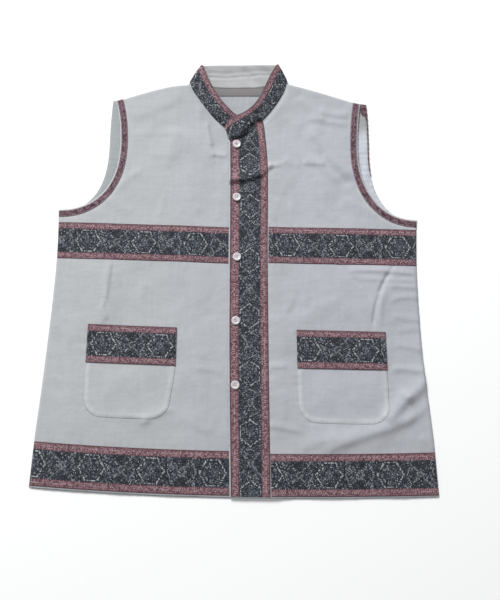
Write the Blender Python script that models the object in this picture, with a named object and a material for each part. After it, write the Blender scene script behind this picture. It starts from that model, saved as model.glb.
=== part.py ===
"""Sleeveless short coat with a band collar, buttoned and laid flat on its back.

Plain cotton panels carry woven tape on the placket, chest, hem, pockets and collar. +X is to the
right as it is seen from above, +Y is towards the collar and +Z is up. The back panel lies on z = 0.
Sizes are in millimetres and become metres where a mesh is made. The cut is drawn in u and v: u runs
across from the centre line and v along it, and lay() places a point of the cut on the table.
"""
import math

import bmesh
import bpy
from mathutils import Vector

MM = 0.001

# Thickness of each layer, and the gap between one layer and the next
CLOTH = 1.2
TAPE = 0.8
COLLAR_WALL = 1.6
GAP = 0.3

# Cut of the body, from the origin midway between hem and collar
HEM_V = -330.2
HEM_RISE = {-1: 9.0, 1: 6.0}
NECK_POINT = (75.0, 299.5)
SHOULDER_TIP = (198.0, 268.0)
SHOULDER_MIDDLE = {-1: (112.0, 293.2), 1: (113.0, 289.8)}
BACK_NECK_V = 290.5
BACK_NECK_BEND_U = 45.0
NECKLINE_BEND = (64.0, 254.5)
CENTRE_FRONT_V = 202.5
UNDERARM = (271.5, 78.5)
UNDERARM_DROP = 3.5
SIDE_START_V = -308.0
SIDE_END_V = 64.0
FRONT_HEM_SHORTER = 1.0
FRONT_SIDE_SHORTER = 0.3
NECK_SEAM_INSET = 1.8
NECK_TO_EDGE = 2.0
FRONT_CORNER = 6.0

# Curves of the armhole from the shoulder tip to the underarm, as control points
BACK_ARMHOLE_TOP = ((198.0, 268.0), (200.6, 241.0), (200.3, 211.0), (200.3, 186.0))
BACK_ARMHOLE_FOOT = ((200.3, 186.0), (200.3, 121.0), (225.0, 82.5), (271.5, 80.5))
TRIM_TOP = {
    -1: ((187.3, 268.5), (181.5, 252.5), (176.5, 223.5), (176.5, 189.5)),
    1: ((182.5, 268.5), (179.5, 253.5), (176.5, 223.5), (176.5, 189.5)),
}
TRIM_FOOT = ((176.5, 189.5), (176.5, 121.5), (212.0, 76.5), (271.5, 76.5))

# Half width of the body down the side seam
SIDE_SEAM = (
    # v, half width
    (80.0, 271.5),
    (12.0, 269.5),
    (-50.0, 270.8),
    (-120.0, 274.2),
    (-195.0, 279.8),
    (-255.0, 284.8),
    (-330.2, 288.4),
)

# How far the centre line lies to one side, because the garment was laid down by hand
CENTRE_LINE = (
    # v, x
    (-331.0, 0.0),
    (-200.0, -1.6),
    (-120.0, -3.2),
    (70.0, -3.1),
    (268.0, -4.1),
    (300.0, -6.3),
    (330.0, -4.5),
)
NECK_TILT = 0.030
NECK_TILT_FROM_V = 255.0
NECK_TILT_FADE_V = 40.0
NECK_TILT_HALF = 80.0
NECK_TILT_FADE_U = 60.0

# Edges of the tape down the placket, as it lies
PLACKET = (
    # y, left x, right x
    (-331.0, -4.0, 51.3),
    (-124.0, -10.7, 46.0),
    (26.0, -13.5, 42.8),
    (170.0, -16.0, 41.0),
    (204.0, -17.4, 36.5),
    (240.0, -18.8, 31.5),
)
PLACKET_MARGIN = 2.0
PLACKET_HEM_MARGIN = 2.5
PLACKET_BELOW_NECK = 3.0
UNDERLAP = 29.0

# Woven tape and trim
TAPE_WIDTH = 56.0
HEM_TAPE_WIDTH = {-1: 61.0, 1: 58.5}
HEM_TAPE_MARGIN = {-1: 3.5, 1: 3.0}
CHEST_BAND = {
    # side: v of the middle at the side seam and at the placket
    -1: (39.0, 35.0),
    1: (36.5, 36.5),
}
BAND_BESIDE_PLACKET = 1.2
BAND_SHORT_OF_UNDERLAP = 2.0
BAND_SHORT_OF_SIDE = 1.1
TRIM_HALF = 5.0
TRIM_INSET = 7.0
TRIM_SHORT_OF_SIDE = 1.0
TRIM_BELOW_SHOULDER = 1.0
NECK_TAPE_WIDTH = 12.0
NECK_TAPE_HALF = 62.0

# Pockets: patch bags with a band across the top
POCKET_WIDTH = 130.0
POCKET_DEPTH = 133.2
POCKET_CORNER = 27.0
# The left bag's edge towards the placket runs inwards below its band
POCKET_NARROWER = {-1: 6.0, 1: 0.0}
POCKET_PLACE = {
    # side: x and y of the middle of the top edge, slope of that edge, lean of the sides
    -1: (-153.4, -89.4, -0.022, 0.0),
    1: (151.4, -91.8, -0.005, -0.030),
}

# Buttons
BUTTON_RADIUS = 6.4
BUTTON_HEIGHT = 2.8
BUTTON_FACE = 4.3
BUTTON_DISH = 0.7
BUTTON_FOOT = 1.0
BUTTON_SIDE_LOW = 0.9
BUTTON_SIDE_HIGH = 1.9
BUTTON_SHOULDER = 0.8
BUTTON_HOLE_RADIUS = 0.9
BUTTON_HOLE_REACH = 1.8
BUTTON_SIDES = 20
BUTTON_PLACES = (
    # y, distance from the left edge of the placket tape
    (195.2, 10.4),
    (109.9, 10.0),
    (17.0, 10.6),
    (-79.3, 9.2),
    (-173.0, 8.0),
)

# Loft: how far the fronts stand off the back
CELL = 14.0
LATTICE_SHIFT = (0.37, 0.41)
PRISM_LOW = -20.0
PRISM_HIGH = 60.0
LOFT = 2.2
LOFT_FROM_SIDE = 70.0
LOFT_FROM_HEM = 60.0
NECK_RISE = 2.6
NECK_RISE_REACH = 38.0
OVERLAP_RISE = 2.8
OVERLAP_RUN = 26.0
OVERLAP_START = 2.0
CLEAR_START = 4.0
PRESSED_BESIDE = 24.0
FRONT_END_X = -4.0
FRONT_END_RISE = 2.4
FRONT_END_REACH = 30.0
FOLD_END = 0.35

# Largest folds, as soft ridges of the fronts
FOLDS = (
    # side, x0, y0, x1, y1, height, half width
    (1, 98.0, 226.0, 170.0, 126.0, 3.2, 20.0),
    (1, 92.0, 176.0, 163.0, 150.0, 1.8, 16.0),
    (1, -15.0, 127.0, 44.0, 141.0, 2.6, 14.0),
    (1, 222.0, -10.0, 200.0, -82.0, 3.2, 15.0),
    (1, 150.0, -14.0, 262.0, -12.0, 2.4, 14.0),
    (1, 165.0, -45.0, 262.0, -44.0, 2.0, 14.0),
    (1, 226.0, -156.0, 274.0, -156.0, 1.8, 14.0),
    (1, 272.0, -162.0, 210.0, -228.0, 3.6, 18.0),
    (1, 234.0, -236.0, 134.0, -249.0, 2.6, 16.0),
    (1, 92.0, -262.0, 225.0, -222.0, 1.6, 18.0),
    (-1, -191.0, 5.0, -192.0, -84.0, 2.6, 14.0),
    (-1, -150.0, -240.0, -94.0, -210.0, 1.8, 16.0),
    (-1, -60.0, 196.0, -40.0, 168.0, 1.8, 15.0),
    (-1, -170.0, 246.0, -90.0, 252.0, 1.4, 15.0),
    (-1, -150.0, 196.0, -60.0, 202.0, 1.2, 18.0),
)

# The collar band from the middle of the back, round the shoulder fold, to its end at the front.
# Each row is one section: the seam edge and the top edge, each with its height above the table.
COLLAR_BACK = (
    # seam u, seam v, seam z, top u, top v, top z
    (0.0, 291.5, 2.0, 0.0, 328.6, 6.6),
    (30.0, 292.2, 2.0, 24.0, 328.8, 6.6),
    (58.0, 296.0, 2.0, 45.0, 328.6, 6.8),
    (72.0, 299.6, 2.1, 56.0, 328.0, 7.4),
)
COLLAR_FOLD = (
    (75.6, 300.6, 3.7, 59.0, 327.0, 10.4),
)
COLLAR_FRONT = (
    (75.0, 298.2, 5.7, 56.5, 323.5, 13.2),
    (72.2, 288.0, 6.0, 48.0, 304.7, 13.6),
    (66.3, 277.0, 5.8, 40.0, 287.8, 13.8),
    (52.6, 256.8, 5.5, 30.0, 269.3, 13.8),
    (38.0, 240.4, 5.5, 17.5, 254.0, 13.4),
)
COLLAR_END_UNDER = (
    (21.5, 225.0, 5.0, 5.5, 244.0, 9.6),
    (5.0, 209.6, 4.6, -8.0, 237.0, 7.6),
)
COLLAR_END_OVER = (
    (21.5, 225.0, 8.8, 4.0, 243.6, 14.2),
    (5.0, 208.6, 9.4, -9.0, 237.4, 13.8),
    (-9.0, 203.4, 8.6, -18.6, 229.0, 12.4),
    (-14.8, 203.0, 8.0, -22.4, 221.6, 11.2),
)
COLLAR_STEPS = 4
COLLAR_ROWS = 4
COLLAR_BOW = 0.8
COLLAR_TAPE_EDGE = 0.02

# Colours, with roughness: linear RGB
COTTON = ((0.49, 0.51, 0.53), 0.9)
TAPE_WEAVE = ((0.085, 0.09, 0.11), 0.85)
TRIM_WEAVE = ((0.23, 0.13, 0.15), 0.85)
BUTTON_PLASTIC = ((0.60, 0.56, 0.58), 0.35)

SIDE_NAME = {-1: "left", 1: "right"}


def remove_everything():
    for thing in list(bpy.data.objects):
        bpy.data.objects.remove(thing, do_unlink=True)


def make_material(name, look):
    colour, roughness = look
    material = bpy.data.materials.new(name)
    material.use_nodes = True
    shader = material.node_tree.nodes["Principled BSDF"]
    shader.inputs["Base Color"].default_value = (*colour, 1.0)
    shader.inputs["Roughness"].default_value = roughness
    shader.inputs["Metallic"].default_value = 0.0
    return material


def smooth(t):
    """Ease from 0 to 1."""
    t = min(1.0, max(0.0, t))
    return t * t * (3.0 - 2.0 * t)


def read_rows(rows, key, column=1):
    """Value of a column at key, on a smooth curve through rows sorted by their first column."""
    rows = sorted(rows)
    if key <= rows[0][0]:
        return rows[0][column]
    if key >= rows[-1][0]:
        return rows[-1][column]
    last = len(rows) - 1
    i = max(k for k in range(last) if rows[k][0] <= key)

    def slope(k):
        a, b = max(k - 1, 0), min(k + 1, last)
        return (rows[b][column] - rows[a][column]) / (rows[b][0] - rows[a][0])

    span = rows[i + 1][0] - rows[i][0]
    t = (key - rows[i][0]) / span
    start, end = rows[i][column], rows[i + 1][column]
    return (
        start * (1 + 2 * t) * (1 - t) ** 2
        + slope(i) * span * t * (1 - t) ** 2
        + end * t * t * (3 - 2 * t)
        - slope(i + 1) * span * t * t * (1 - t)
    )


def bezier(points, steps, skip_first=False):
    """Points along a quadratic or cubic Bezier curve."""
    degree = len(points) - 1
    out = []
    for k in range(1 if skip_first else 0, steps + 1):
        t = k / steps
        weights = [math.comb(degree, i) * t**i * (1 - t) ** (degree - i) for i in range(degree + 1)]
        out.append(tuple(sum(w * p[axis] for w, p in zip(weights, points)) for axis in (0, 1)))
    return out


def lay(u, v):
    """Place a point of the cut on the table."""
    x = u + read_rows(CENTRE_LINE, v)
    along = smooth((v - NECK_TILT_FROM_V) / NECK_TILT_FADE_V)
    across = 1.0 - smooth((abs(u) - NECK_TILT_HALF) / NECK_TILT_FADE_U)
    return x, v + u * NECK_TILT * along * across


def side_point(side, v, inset=0.0):
    return lay(side * (read_rows(SIDE_SEAM, v) - inset), v)


def hem_v(u, margin=0.0):
    """The hem rises towards the side seams."""
    rise = HEM_RISE[1 if u > 0.0 else -1]
    return HEM_V + margin + rise * (u / SIDE_SEAM[-1][1]) ** 2


def hem_line(u_start, u_end, steps, margin=0.0):
    out = []
    for k in range(steps + 1):
        u = u_start + (u_end - u_start) * k / steps
        out.append(lay(u, hem_v(u, margin)))
    return out


def side_line(side, v_start, v_end, steps, inset=0.0):
    return [side_point(side, v_start + (v_end - v_start) * k / steps, inset) for k in range(steps + 1)]


def neckline(side, steps, inset=0.0):
    """Front neck seam from the neck point down to the centre front."""
    ends = (NECK_POINT, NECKLINE_BEND, (0.0, CENTRE_FRONT_V))
    out = []
    for u, v in bezier(ends, steps):
        out.append(lay(side * (u + inset * 0.75), v - inset * 0.65))
    return out


def dropped(points, side):
    """The right underarm lies lower than the left one, so the last two control points do too."""
    drop = side * UNDERARM_DROP
    return points[:2] + tuple((u, v - drop) for u, v in points[2:])


def back_armhole(side, steps):
    """From the shoulder tip down to the underarm."""
    upper = bezier(BACK_ARMHOLE_TOP, steps)
    lower = bezier(dropped(BACK_ARMHOLE_FOOT, side), steps, True)
    return [(side * u, v) for u, v in upper + lower]


def trim_line(side, steps):
    """Middle of the trim round the front armhole, from the shoulder tip down to the underarm."""
    return bezier(TRIM_TOP[side], steps) + bezier(dropped(TRIM_FOOT, side), steps, True)


def offset_line(points, distance):
    """Shift a line sideways. A positive distance is to the left of its direction."""
    out = []
    last = len(points) - 1
    for k, (x, y) in enumerate(points):
        ahead = points[min(k + 1, last)]
        behind = points[max(k - 1, 0)]
        dx, dy = ahead[0] - behind[0], ahead[1] - behind[1]
        length = math.hypot(dx, dy)
        out.append((x - dy / length * distance, y + dx / length * distance))
    return out


def below_shoulder(points, inset):
    """Keep a line of the front below the shoulder seam."""
    slope = (SHOULDER_TIP[1] - NECK_POINT[1]) / (SHOULDER_TIP[0] - NECK_POINT[0])
    out = []
    for u, v in points:
        seam_v = NECK_POINT[1] + slope * (u - NECK_POINT[0]) - inset
        out.append((u, min(v, seam_v)))
    return out


def placket_edge(y, column, margin=0.0):
    return read_rows(PLACKET, y, column) + margin


def placket_line(column, y_start, y_end, steps, margin=0.0):
    out = []
    for k in range(steps + 1):
        y = y_start + (y_end - y_start) * k / steps
        out.append((placket_edge(y, column, margin), y))
    return out


def distance_to_line(x, y, line):
    return min(math.hypot(x - px, y - py) for px, py in line)


def distance_to_segment(x, y, x0, y0, x1, y1):
    """Distance from a segment, and how far along it the nearest point is."""
    dx, dy = x1 - x0, y1 - y0
    along = ((x - x0) * dx + (y - y0) * dy) / (dx * dx + dy * dy)
    t = min(1.0, max(0.0, along))
    return math.hypot(x - x0 - t * dx, y - y0 - t * dy), t


NECK_SEAM = {side: neckline(side, 24) for side in (-1, 1)}


def front_height(side, x, y):
    """Underside of a front above the table: laid on the back, with loft and the largest folds."""
    half = read_rows(SIDE_SEAM, y)
    from_side = half - abs(x - read_rows(CENTRE_LINE, y))
    from_hem = y - HEM_V
    loft = LOFT * smooth(from_side / LOFT_FROM_SIDE) * smooth(from_hem / LOFT_FROM_HEM)
    from_placket = x - placket_edge(y, 2)
    if side < 0:
        from_placket = placket_edge(y, 1) - x - PRESSED_BESIDE
    clear = smooth((from_placket + CLEAR_START) / OVERLAP_RUN)
    height = CLOTH + GAP + loft * clear
    for fold_side, x0, y0, x1, y1, rise, reach in FOLDS:
        if fold_side != side:
            continue
        away, t = distance_to_segment(x, y, x0, y0, x1, y1)
        taper = smooth(4.0 * min(t, 1.0 - t) + FOLD_END)
        across_placket = fold_side * x0 < 0.0
        height += rise * smooth(1.0 - away / reach) * taper * (1.0 if across_placket else clear)
    near_neck = 1.0 - smooth(distance_to_line(x, y, NECK_SEAM[side]) / NECK_RISE_REACH)
    if side > 0:
        height += OVERLAP_RISE * (1.0 - smooth((from_placket - OVERLAP_START) / OVERLAP_RUN))
        at_end = 1.0 - smooth(math.hypot(x - FRONT_END_X, y - CENTRE_FRONT_V) / FRONT_END_REACH)
        height += max(FRONT_END_RISE * at_end, NECK_RISE * near_neck * clear)
    else:
        height += NECK_RISE * near_neck * clear
    return height


def new_object(name, mesh_data):
    thing = bpy.data.objects.new(name, mesh_data)
    bpy.context.collection.objects.link(thing)
    return thing


def mesh_from_bmesh(name, work):
    bmesh.ops.recalc_face_normals(work, faces=work.faces)
    data = bpy.data.meshes.new(name)
    work.to_mesh(data)
    work.free()
    return data


def prism(name, outline, low, high):
    """Closed solid over an outline."""
    work = bmesh.new()
    ring = [work.verts.new((x * MM, y * MM, low * MM)) for x, y in outline]
    base = work.faces.new(ring)
    raised = bmesh.ops.extrude_face_region(work, geom=[base])
    lifted = [item for item in raised["geom"] if isinstance(item, bmesh.types.BMVert)]
    bmesh.ops.translate(work, verts=lifted, vec=(0.0, 0.0, (high - low) * MM))
    return mesh_from_bmesh(name, work)


def lattice_slab(name, outline, height, thickness):
    """Closed slab of cloth over the cells that an outline touches.

    Every layer uses the same lattice and the same diagonals, so one layer moved up by its
    thickness and a gap lies on the next all over.
    """
    low_i = math.floor(min(x for x, _ in outline) / CELL) - 1
    high_i = math.ceil(max(x for x, _ in outline) / CELL) + 1
    low_j = math.floor(min(y for _, y in outline) / CELL) - 1
    high_j = math.ceil(max(y for _, y in outline) / CELL) + 1
    work = bmesh.new()
    layers = []
    for lift in (0.0, thickness):
        layer = {}
        for i in range(low_i, high_i + 1):
            for j in range(low_j, high_j + 1):
                x, y = (i + LATTICE_SHIFT[0]) * CELL, (j + LATTICE_SHIFT[1]) * CELL
                layer[i, j] = work.verts.new((x * MM, y * MM, (height(x, y) + lift) * MM))
        for i in range(low_i, high_i):
            for j in range(low_j, high_j):
                a, b = layer[i, j], layer[i + 1, j]
                c, d = layer[i + 1, j + 1], layer[i, j + 1]
                work.faces.new((a, b, c))
                work.faces.new((a, c, d))
        layers.append(layer)
    rim = [(i, low_j) for i in range(low_i, high_i)]
    rim += [(high_i, j) for j in range(low_j, high_j)]
    rim += [(i, high_j) for i in range(high_i, low_i, -1)]
    rim += [(low_i, j) for j in range(high_j, low_j, -1)]
    for k, here in enumerate(rim):
        after = rim[(k + 1) % len(rim)]
        work.faces.new((layers[0][here], layers[0][after], layers[1][after], layers[1][here]))
    return mesh_from_bmesh(name, work)


def lattice_height(height, x, y):
    """Height of a slab's faceted surface over a point."""
    i, s = divmod(x / CELL - LATTICE_SHIFT[0], 1.0)
    j, t = divmod(y / CELL - LATTICE_SHIFT[1], 1.0)

    def corner(di, dj):
        return height((i + di + LATTICE_SHIFT[0]) * CELL, (j + dj + LATTICE_SHIFT[1]) * CELL)

    a, c = corner(0, 0), corner(1, 1)
    if s > t:
        b = corner(1, 0)
        return a + (b - a) * s + (c - b) * t
    d = corner(0, 1)
    return a + (d - a) * t + (c - d) * s


def keep_common(name, first, second):
    """Solid that two meshes share."""
    body = new_object(name, first)
    tool = new_object(name + "_outline", second)
    cut = body.modifiers.new("outline", "BOOLEAN")
    cut.operation = "INTERSECT"
    cut.solver = "EXACT"
    cut.object = tool
    graph = bpy.context.evaluated_depsgraph_get()
    result = bpy.data.meshes.new_from_object(body.evaluated_get(graph))
    result.name = name
    body.modifiers.clear()
    body.data = result
    bpy.data.objects.remove(tool, do_unlink=True)
    return body


def cloth_piece(name, outline, height, thickness, material):
    """Layer of cloth cut to an outline, with its underside at a height."""
    slab = lattice_slab(name + "_slab", outline, height, thickness)
    piece = keep_common(name, slab, prism(name + "_prism", outline, PRISM_LOW, PRISM_HIGH))
    piece.data.materials.clear()
    piece.data.materials.append(material)
    return piece


def on_front(side, layers_below):
    """Height of a layer that lies on a front, over the thicknesses that are under it."""
    lift = CLOTH + GAP + sum(thickness + GAP for thickness in layers_below)
    return lambda x, y: front_height(side, x, y) + lift


def shoulder_middle(side):
    u, v = SHOULDER_MIDDLE[side]
    return lay(side * u, v)


def build_back(cotton):
    outline = hem_line(-SIDE_SEAM[-1][1], SIDE_SEAM[-1][1], 14)
    outline += side_line(1, SIDE_START_V, SIDE_END_V, 12)
    outline += [lay(u, v) for u, v in reversed(back_armhole(1, 8))]
    outline.append(shoulder_middle(1))
    back_neck = bezier((NECK_POINT, (BACK_NECK_BEND_U, BACK_NECK_V), (0.0, BACK_NECK_V)), 5)
    outline += [lay(u, v) for u, v in back_neck]
    outline += [lay(-u, v) for u, v in reversed(back_neck[:-1])]
    outline.append(shoulder_middle(-1))
    outline += [lay(u, v) for u, v in back_armhole(-1, 8)]
    outline += side_line(-1, SIDE_END_V, SIDE_START_V, 12)
    back = new_object("back", prism("back", outline, 0.0, CLOTH))
    back.data.materials.append(cotton)
    return back


def front_outline(side):
    """Outline of a front, from its front edge at the hem round to its neck."""
    past_placket = -PLACKET_MARGIN if side > 0 else UNDERLAP
    low = HEM_V + FRONT_HEM_SHORTER
    edge_top = CENTRE_FRONT_V - NECK_TO_EDGE
    edge = placket_line(1, low + FRONT_CORNER, edge_top - FRONT_CORNER, 10, past_placket)
    hem_start = placket_edge(HEM_V, 1, past_placket)
    hem_end = side * (SIDE_SEAM[-1][1] - FRONT_SIDE_SHORTER)
    outline = hem_line(hem_start, hem_end, 8, FRONT_HEM_SHORTER)
    outline += side_line(side, SIDE_START_V, SIDE_END_V, 12, FRONT_SIDE_SHORTER)
    armhole = below_shoulder(offset_line(trim_line(side, 8), TRIM_INSET), FRONT_SIDE_SHORTER)
    outline += [lay(side * u, v) for u, v in reversed(armhole)]
    outline.append(shoulder_middle(side))
    outline += neckline(side, 8, NECK_SEAM_INSET)[:-1]
    outline.append((placket_edge(CENTRE_FRONT_V, 1, past_placket), edge_top))
    outline += reversed(edge)
    return outline


def build_front(side, cotton):
    name = "front_" + SIDE_NAME[side]
    return cloth_piece(name, front_outline(side), lambda x, y: front_height(side, x, y), CLOTH, cotton)


def build_placket_tape(weave):
    low = HEM_V + PLACKET_HEM_MARGIN
    high = CENTRE_FRONT_V - PLACKET_BELOW_NECK
    neck = [(x, y - PLACKET_BELOW_NECK) for x, y in NECK_SEAM[1]]
    top = [(x, y) for x, y in neck if placket_edge(y, 1) < x < placket_edge(y, 2)]
    outline = placket_line(1, high, low, 10)
    outline += placket_line(2, low, top[0][1] - PLACKET_BELOW_NECK, 12)
    outline += top
    return cloth_piece("placket_tape", outline, on_front(1, ()), TAPE, weave)


def band_end(side, y):
    """Where a band on a front stops, beside the placket tape or under it."""
    if side > 0:
        return placket_edge(y, 2, BAND_BESIDE_PLACKET)
    return placket_edge(y, 1, UNDERLAP - BAND_SHORT_OF_UNDERLAP)


def build_chest_band(side, weave):
    outer_v, inner_v = CHEST_BAND[side]
    outline = []
    for half in (-TAPE_WIDTH / 2, TAPE_WIDTH / 2):
        inner = (band_end(side, inner_v + half), inner_v + half)
        outer = side_point(side, outer_v + half, BAND_SHORT_OF_SIDE)
        outline += [inner, outer] if half < 0 else [outer, inner]
    return cloth_piece("chest_band_" + SIDE_NAME[side], outline, on_front(side, ()), TAPE, weave)


def build_hem_band(side, weave):
    inner = band_end(side, HEM_V)
    outer = side * (SIDE_SEAM[-1][1] - BAND_SHORT_OF_SIDE)
    low = hem_line(inner, outer, 6, HEM_TAPE_MARGIN[side])
    top_margin = HEM_TAPE_MARGIN[side] + HEM_TAPE_WIDTH[side]
    top_half = read_rows(SIDE_SEAM, HEM_V + top_margin + HEM_RISE[side])
    top_outer = side * (top_half - BAND_SHORT_OF_SIDE)
    top_inner = band_end(side, HEM_V + top_margin)
    high = hem_line(top_outer, top_inner, 6, top_margin)
    return cloth_piece("hem_band_" + SIDE_NAME[side], low + high, on_front(side, ()), TAPE, weave)


def pocket_frame(side):
    """Function that takes a point of the pocket, from the middle of its top edge, to the table."""
    middle_x, middle_y, slope, lean = POCKET_PLACE[side]
    return lambda across, up: (middle_x + across + up * lean, middle_y + across * slope + up)


def build_pocket(side, cotton):
    place = pocket_frame(side)
    half = POCKET_WIDTH / 2
    outline = [place(-half, 0.0)]
    for corner, start in ((-1, 180.0), (1, 270.0)):
        narrower = POCKET_NARROWER[side] if corner > 0 else 0.0
        centre = (corner * (half - POCKET_CORNER) - narrower, POCKET_CORNER - POCKET_DEPTH)
        for k in range(5):
            angle = math.radians(start + 22.5 * k)
            across = centre[0] + POCKET_CORNER * math.cos(angle)
            outline.append(place(across, centre[1] + POCKET_CORNER * math.sin(angle)))
    outline.append(place(half, -TAPE_WIDTH))
    outline.append(place(half, 0.0))
    return cloth_piece("pocket_" + SIDE_NAME[side], outline, on_front(side, ()), CLOTH, cotton)


def build_pocket_band(side, weave):
    place = pocket_frame(side)
    half = POCKET_WIDTH / 2
    outline = [place(-half, 0.0), place(-half, -TAPE_WIDTH), place(half, -TAPE_WIDTH), place(half, 0.0)]
    name = "pocket_band_" + SIDE_NAME[side]
    return cloth_piece(name, outline, on_front(side, (CLOTH,)), TAPE, weave)


def build_armhole_trim(side, weave):
    middle = trim_line(side, 9)
    outer = below_shoulder(offset_line(middle, TRIM_HALF), TRIM_BELOW_SHOULDER)
    inner = below_shoulder(offset_line(middle, -TRIM_HALF), TRIM_BELOW_SHOULDER)
    widest = UNDERARM[0] - TRIM_SHORT_OF_SIDE
    ends = [(min(u, widest), v) for u, v in outer + inner[::-1]]
    outline = [lay(side * u, v) for u, v in ends]
    return cloth_piece("armhole_trim_" + SIDE_NAME[side], outline, on_front(side, ()), TAPE, weave)


def build_neck_tape(weave):
    """Strip over the seam inside the back neck."""
    low = BACK_NECK_V - NECK_TAPE_WIDTH
    corners = ((-1, BACK_NECK_V), (1, BACK_NECK_V), (1, low), (-1, low))
    outline = [lay(end * NECK_TAPE_HALF, v) for end, v in corners]
    strip = new_object("neck_tape", prism("neck_tape", outline, CLOTH + GAP, CLOTH + GAP + TAPE))
    strip.data.materials.append(weave)
    return strip


def collar_sections():
    """All sections of the band, from its end under the overlap, round the back, to its end on top."""
    def placed(rows, side):
        out = []
        for seam_u, seam_v, seam_z, top_u, top_v, top_z in rows:
            seam = Vector((*lay(side * seam_u, seam_v), seam_z))
            out.append((seam, Vector((*lay(side * top_u, top_v), top_z))))
        return out

    half = COLLAR_BACK + COLLAR_FOLD + COLLAR_FRONT
    left = placed(half + COLLAR_END_UNDER, -1)
    right = placed(half[1:] + COLLAR_END_OVER, 1)
    return left[::-1] + right


def through(points, steps):
    """Points on a smooth curve through given points, with even steps between each two."""
    out = []
    last = len(points) - 1
    for k in range(last):
        before, start = points[max(k - 1, 0)], points[k]
        end, after = points[k + 1], points[min(k + 2, last)]
        span = (end - start).length
        lead_in = (end - before) * (span / max((start - before).length + span, 1e-6))
        lead_out = (after - start) * (span / max((after - end).length + span, 1e-6))
        for step in range(steps):
            t = step / steps
            out.append(
                start * (1 + 2 * t) * (1 - t) ** 2
                + lead_in * t * (1 - t) ** 2
                + end * t * t * (3 - 2 * t)
                - lead_out * t * t * (1 - t)
            )
    out.append(points[-1])
    return out


def collar_band(name, inner, outer, edge, material):
    """Wall of the collar between two distances from its middle, measured towards its outer face."""
    sections = collar_sections()
    seam = through([section[0] for section in sections], COLLAR_STEPS)
    top = through([section[1] for section in sections], COLLAR_STEPS)
    last = len(seam) - 1

    def middle(k, t):
        return seam[k].lerp(top[k], t)

    def outward(k, t):
        along = middle(min(k + 1, last), t) - middle(max(k - 1, 0), t)
        return (top[k] - seam[k]).cross(along).normalized()

    levels = [edge + (1.0 - 2.0 * edge) * row / (COLLAR_ROWS - 1) for row in range(COLLAR_ROWS)]
    work = bmesh.new()
    faces = []
    for distance in (inner, outer):
        face = []
        for k in range(last + 1):
            column = []
            for t in levels:
                bow = COLLAR_BOW * 4.0 * t * (1.0 - t)
                point = middle(k, t) + outward(k, t) * (distance + bow)
                column.append(work.verts.new(point * MM))
            face.append(column)
        faces.append(face)

    def close(a, b, c, d):
        work.faces.new((a, b, c))
        work.faces.new((a, c, d))

    for k in range(last):
        for face in faces:
            for row in range(COLLAR_ROWS - 1):
                close(face[k][row], face[k + 1][row], face[k + 1][row + 1], face[k][row + 1])
        for row in (0, COLLAR_ROWS - 1):
            close(faces[0][k][row], faces[0][k + 1][row], faces[1][k + 1][row], faces[1][k][row])
    for k in (0, last):
        for row in range(COLLAR_ROWS - 1):
            close(faces[0][k][row], faces[0][k][row + 1], faces[1][k][row + 1], faces[1][k][row])
    band = new_object(name, mesh_from_bmesh(name, work))
    band.data.materials.append(material)
    band.data.shade_smooth()
    band.data.set_sharp_from_angle(angle=math.radians(40.0))
    return band


def build_collar(cotton):
    return collar_band("collar", -COLLAR_WALL / 2, COLLAR_WALL / 2, 0.0, cotton)


def build_collar_tape(weave):
    start = COLLAR_WALL / 2 + GAP
    return collar_band("collar_tape", start, start + TAPE, COLLAR_TAPE_EDGE, weave)


def turned(profile, sides):
    """Closed turned solid about +Z from a profile of radius and height that starts and ends at 0."""
    work = bmesh.new()
    rings = []
    for radius, height in profile:
        if radius == 0.0:
            rings.append([work.verts.new((0.0, 0.0, height * MM))])
            continue
        ring = []
        for k in range(sides):
            angle = 2.0 * math.pi * k / sides
            point = Vector((radius * math.cos(angle), radius * math.sin(angle), height))
            ring.append(work.verts.new(point * MM))
        rings.append(ring)
    for low, high in zip(rings, rings[1:]):
        for k in range(sides):
            n = (k + 1) % sides
            corners = [low[k % len(low)], low[n % len(low)], high[n % len(high)], high[k % len(high)]]
            work.faces.new(list(dict.fromkeys(corners)))
    return work


def button_mesh():
    """Round button with a raised rim, a dished face and four holes."""
    profile = (
        (0.0, 0.0),
        (BUTTON_RADIUS - BUTTON_FOOT, 0.0),
        (BUTTON_RADIUS, BUTTON_SIDE_LOW),
        (BUTTON_RADIUS, BUTTON_SIDE_HIGH),
        (BUTTON_RADIUS - BUTTON_SHOULDER, BUTTON_HEIGHT),
        (BUTTON_FACE, BUTTON_HEIGHT),
        (BUTTON_FACE - BUTTON_DISH, BUTTON_HEIGHT - BUTTON_DISH),
        (0.0, BUTTON_HEIGHT - BUTTON_DISH),
    )
    disc = new_object("button_disc", mesh_from_bmesh("button_disc", turned(profile, BUTTON_SIDES)))
    holes = bmesh.new()
    for k in range(4):
        angle = math.radians(45.0 + 90.0 * k)
        made = bmesh.ops.create_cone(
            holes,
            cap_ends=True,
            segments=8,
            radius1=BUTTON_HOLE_RADIUS * MM,
            radius2=BUTTON_HOLE_RADIUS * MM,
            depth=4.0 * BUTTON_HEIGHT * MM,
        )
        shift = Vector((math.cos(angle), math.sin(angle), 0.0)) * BUTTON_HOLE_REACH * MM
        bmesh.ops.translate(holes, verts=made["verts"], vec=shift)
    tool = new_object("button_holes", mesh_from_bmesh("button_holes", holes))
    cut = disc.modifiers.new("holes", "BOOLEAN")
    cut.operation = "DIFFERENCE"
    cut.solver = "EXACT"
    cut.object = tool
    graph = bpy.context.evaluated_depsgraph_get()
    result = bpy.data.meshes.new_from_object(disc.evaluated_get(graph))
    result.name = "button"
    bpy.data.objects.remove(disc, do_unlink=True)
    bpy.data.objects.remove(tool, do_unlink=True)
    return result


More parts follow.
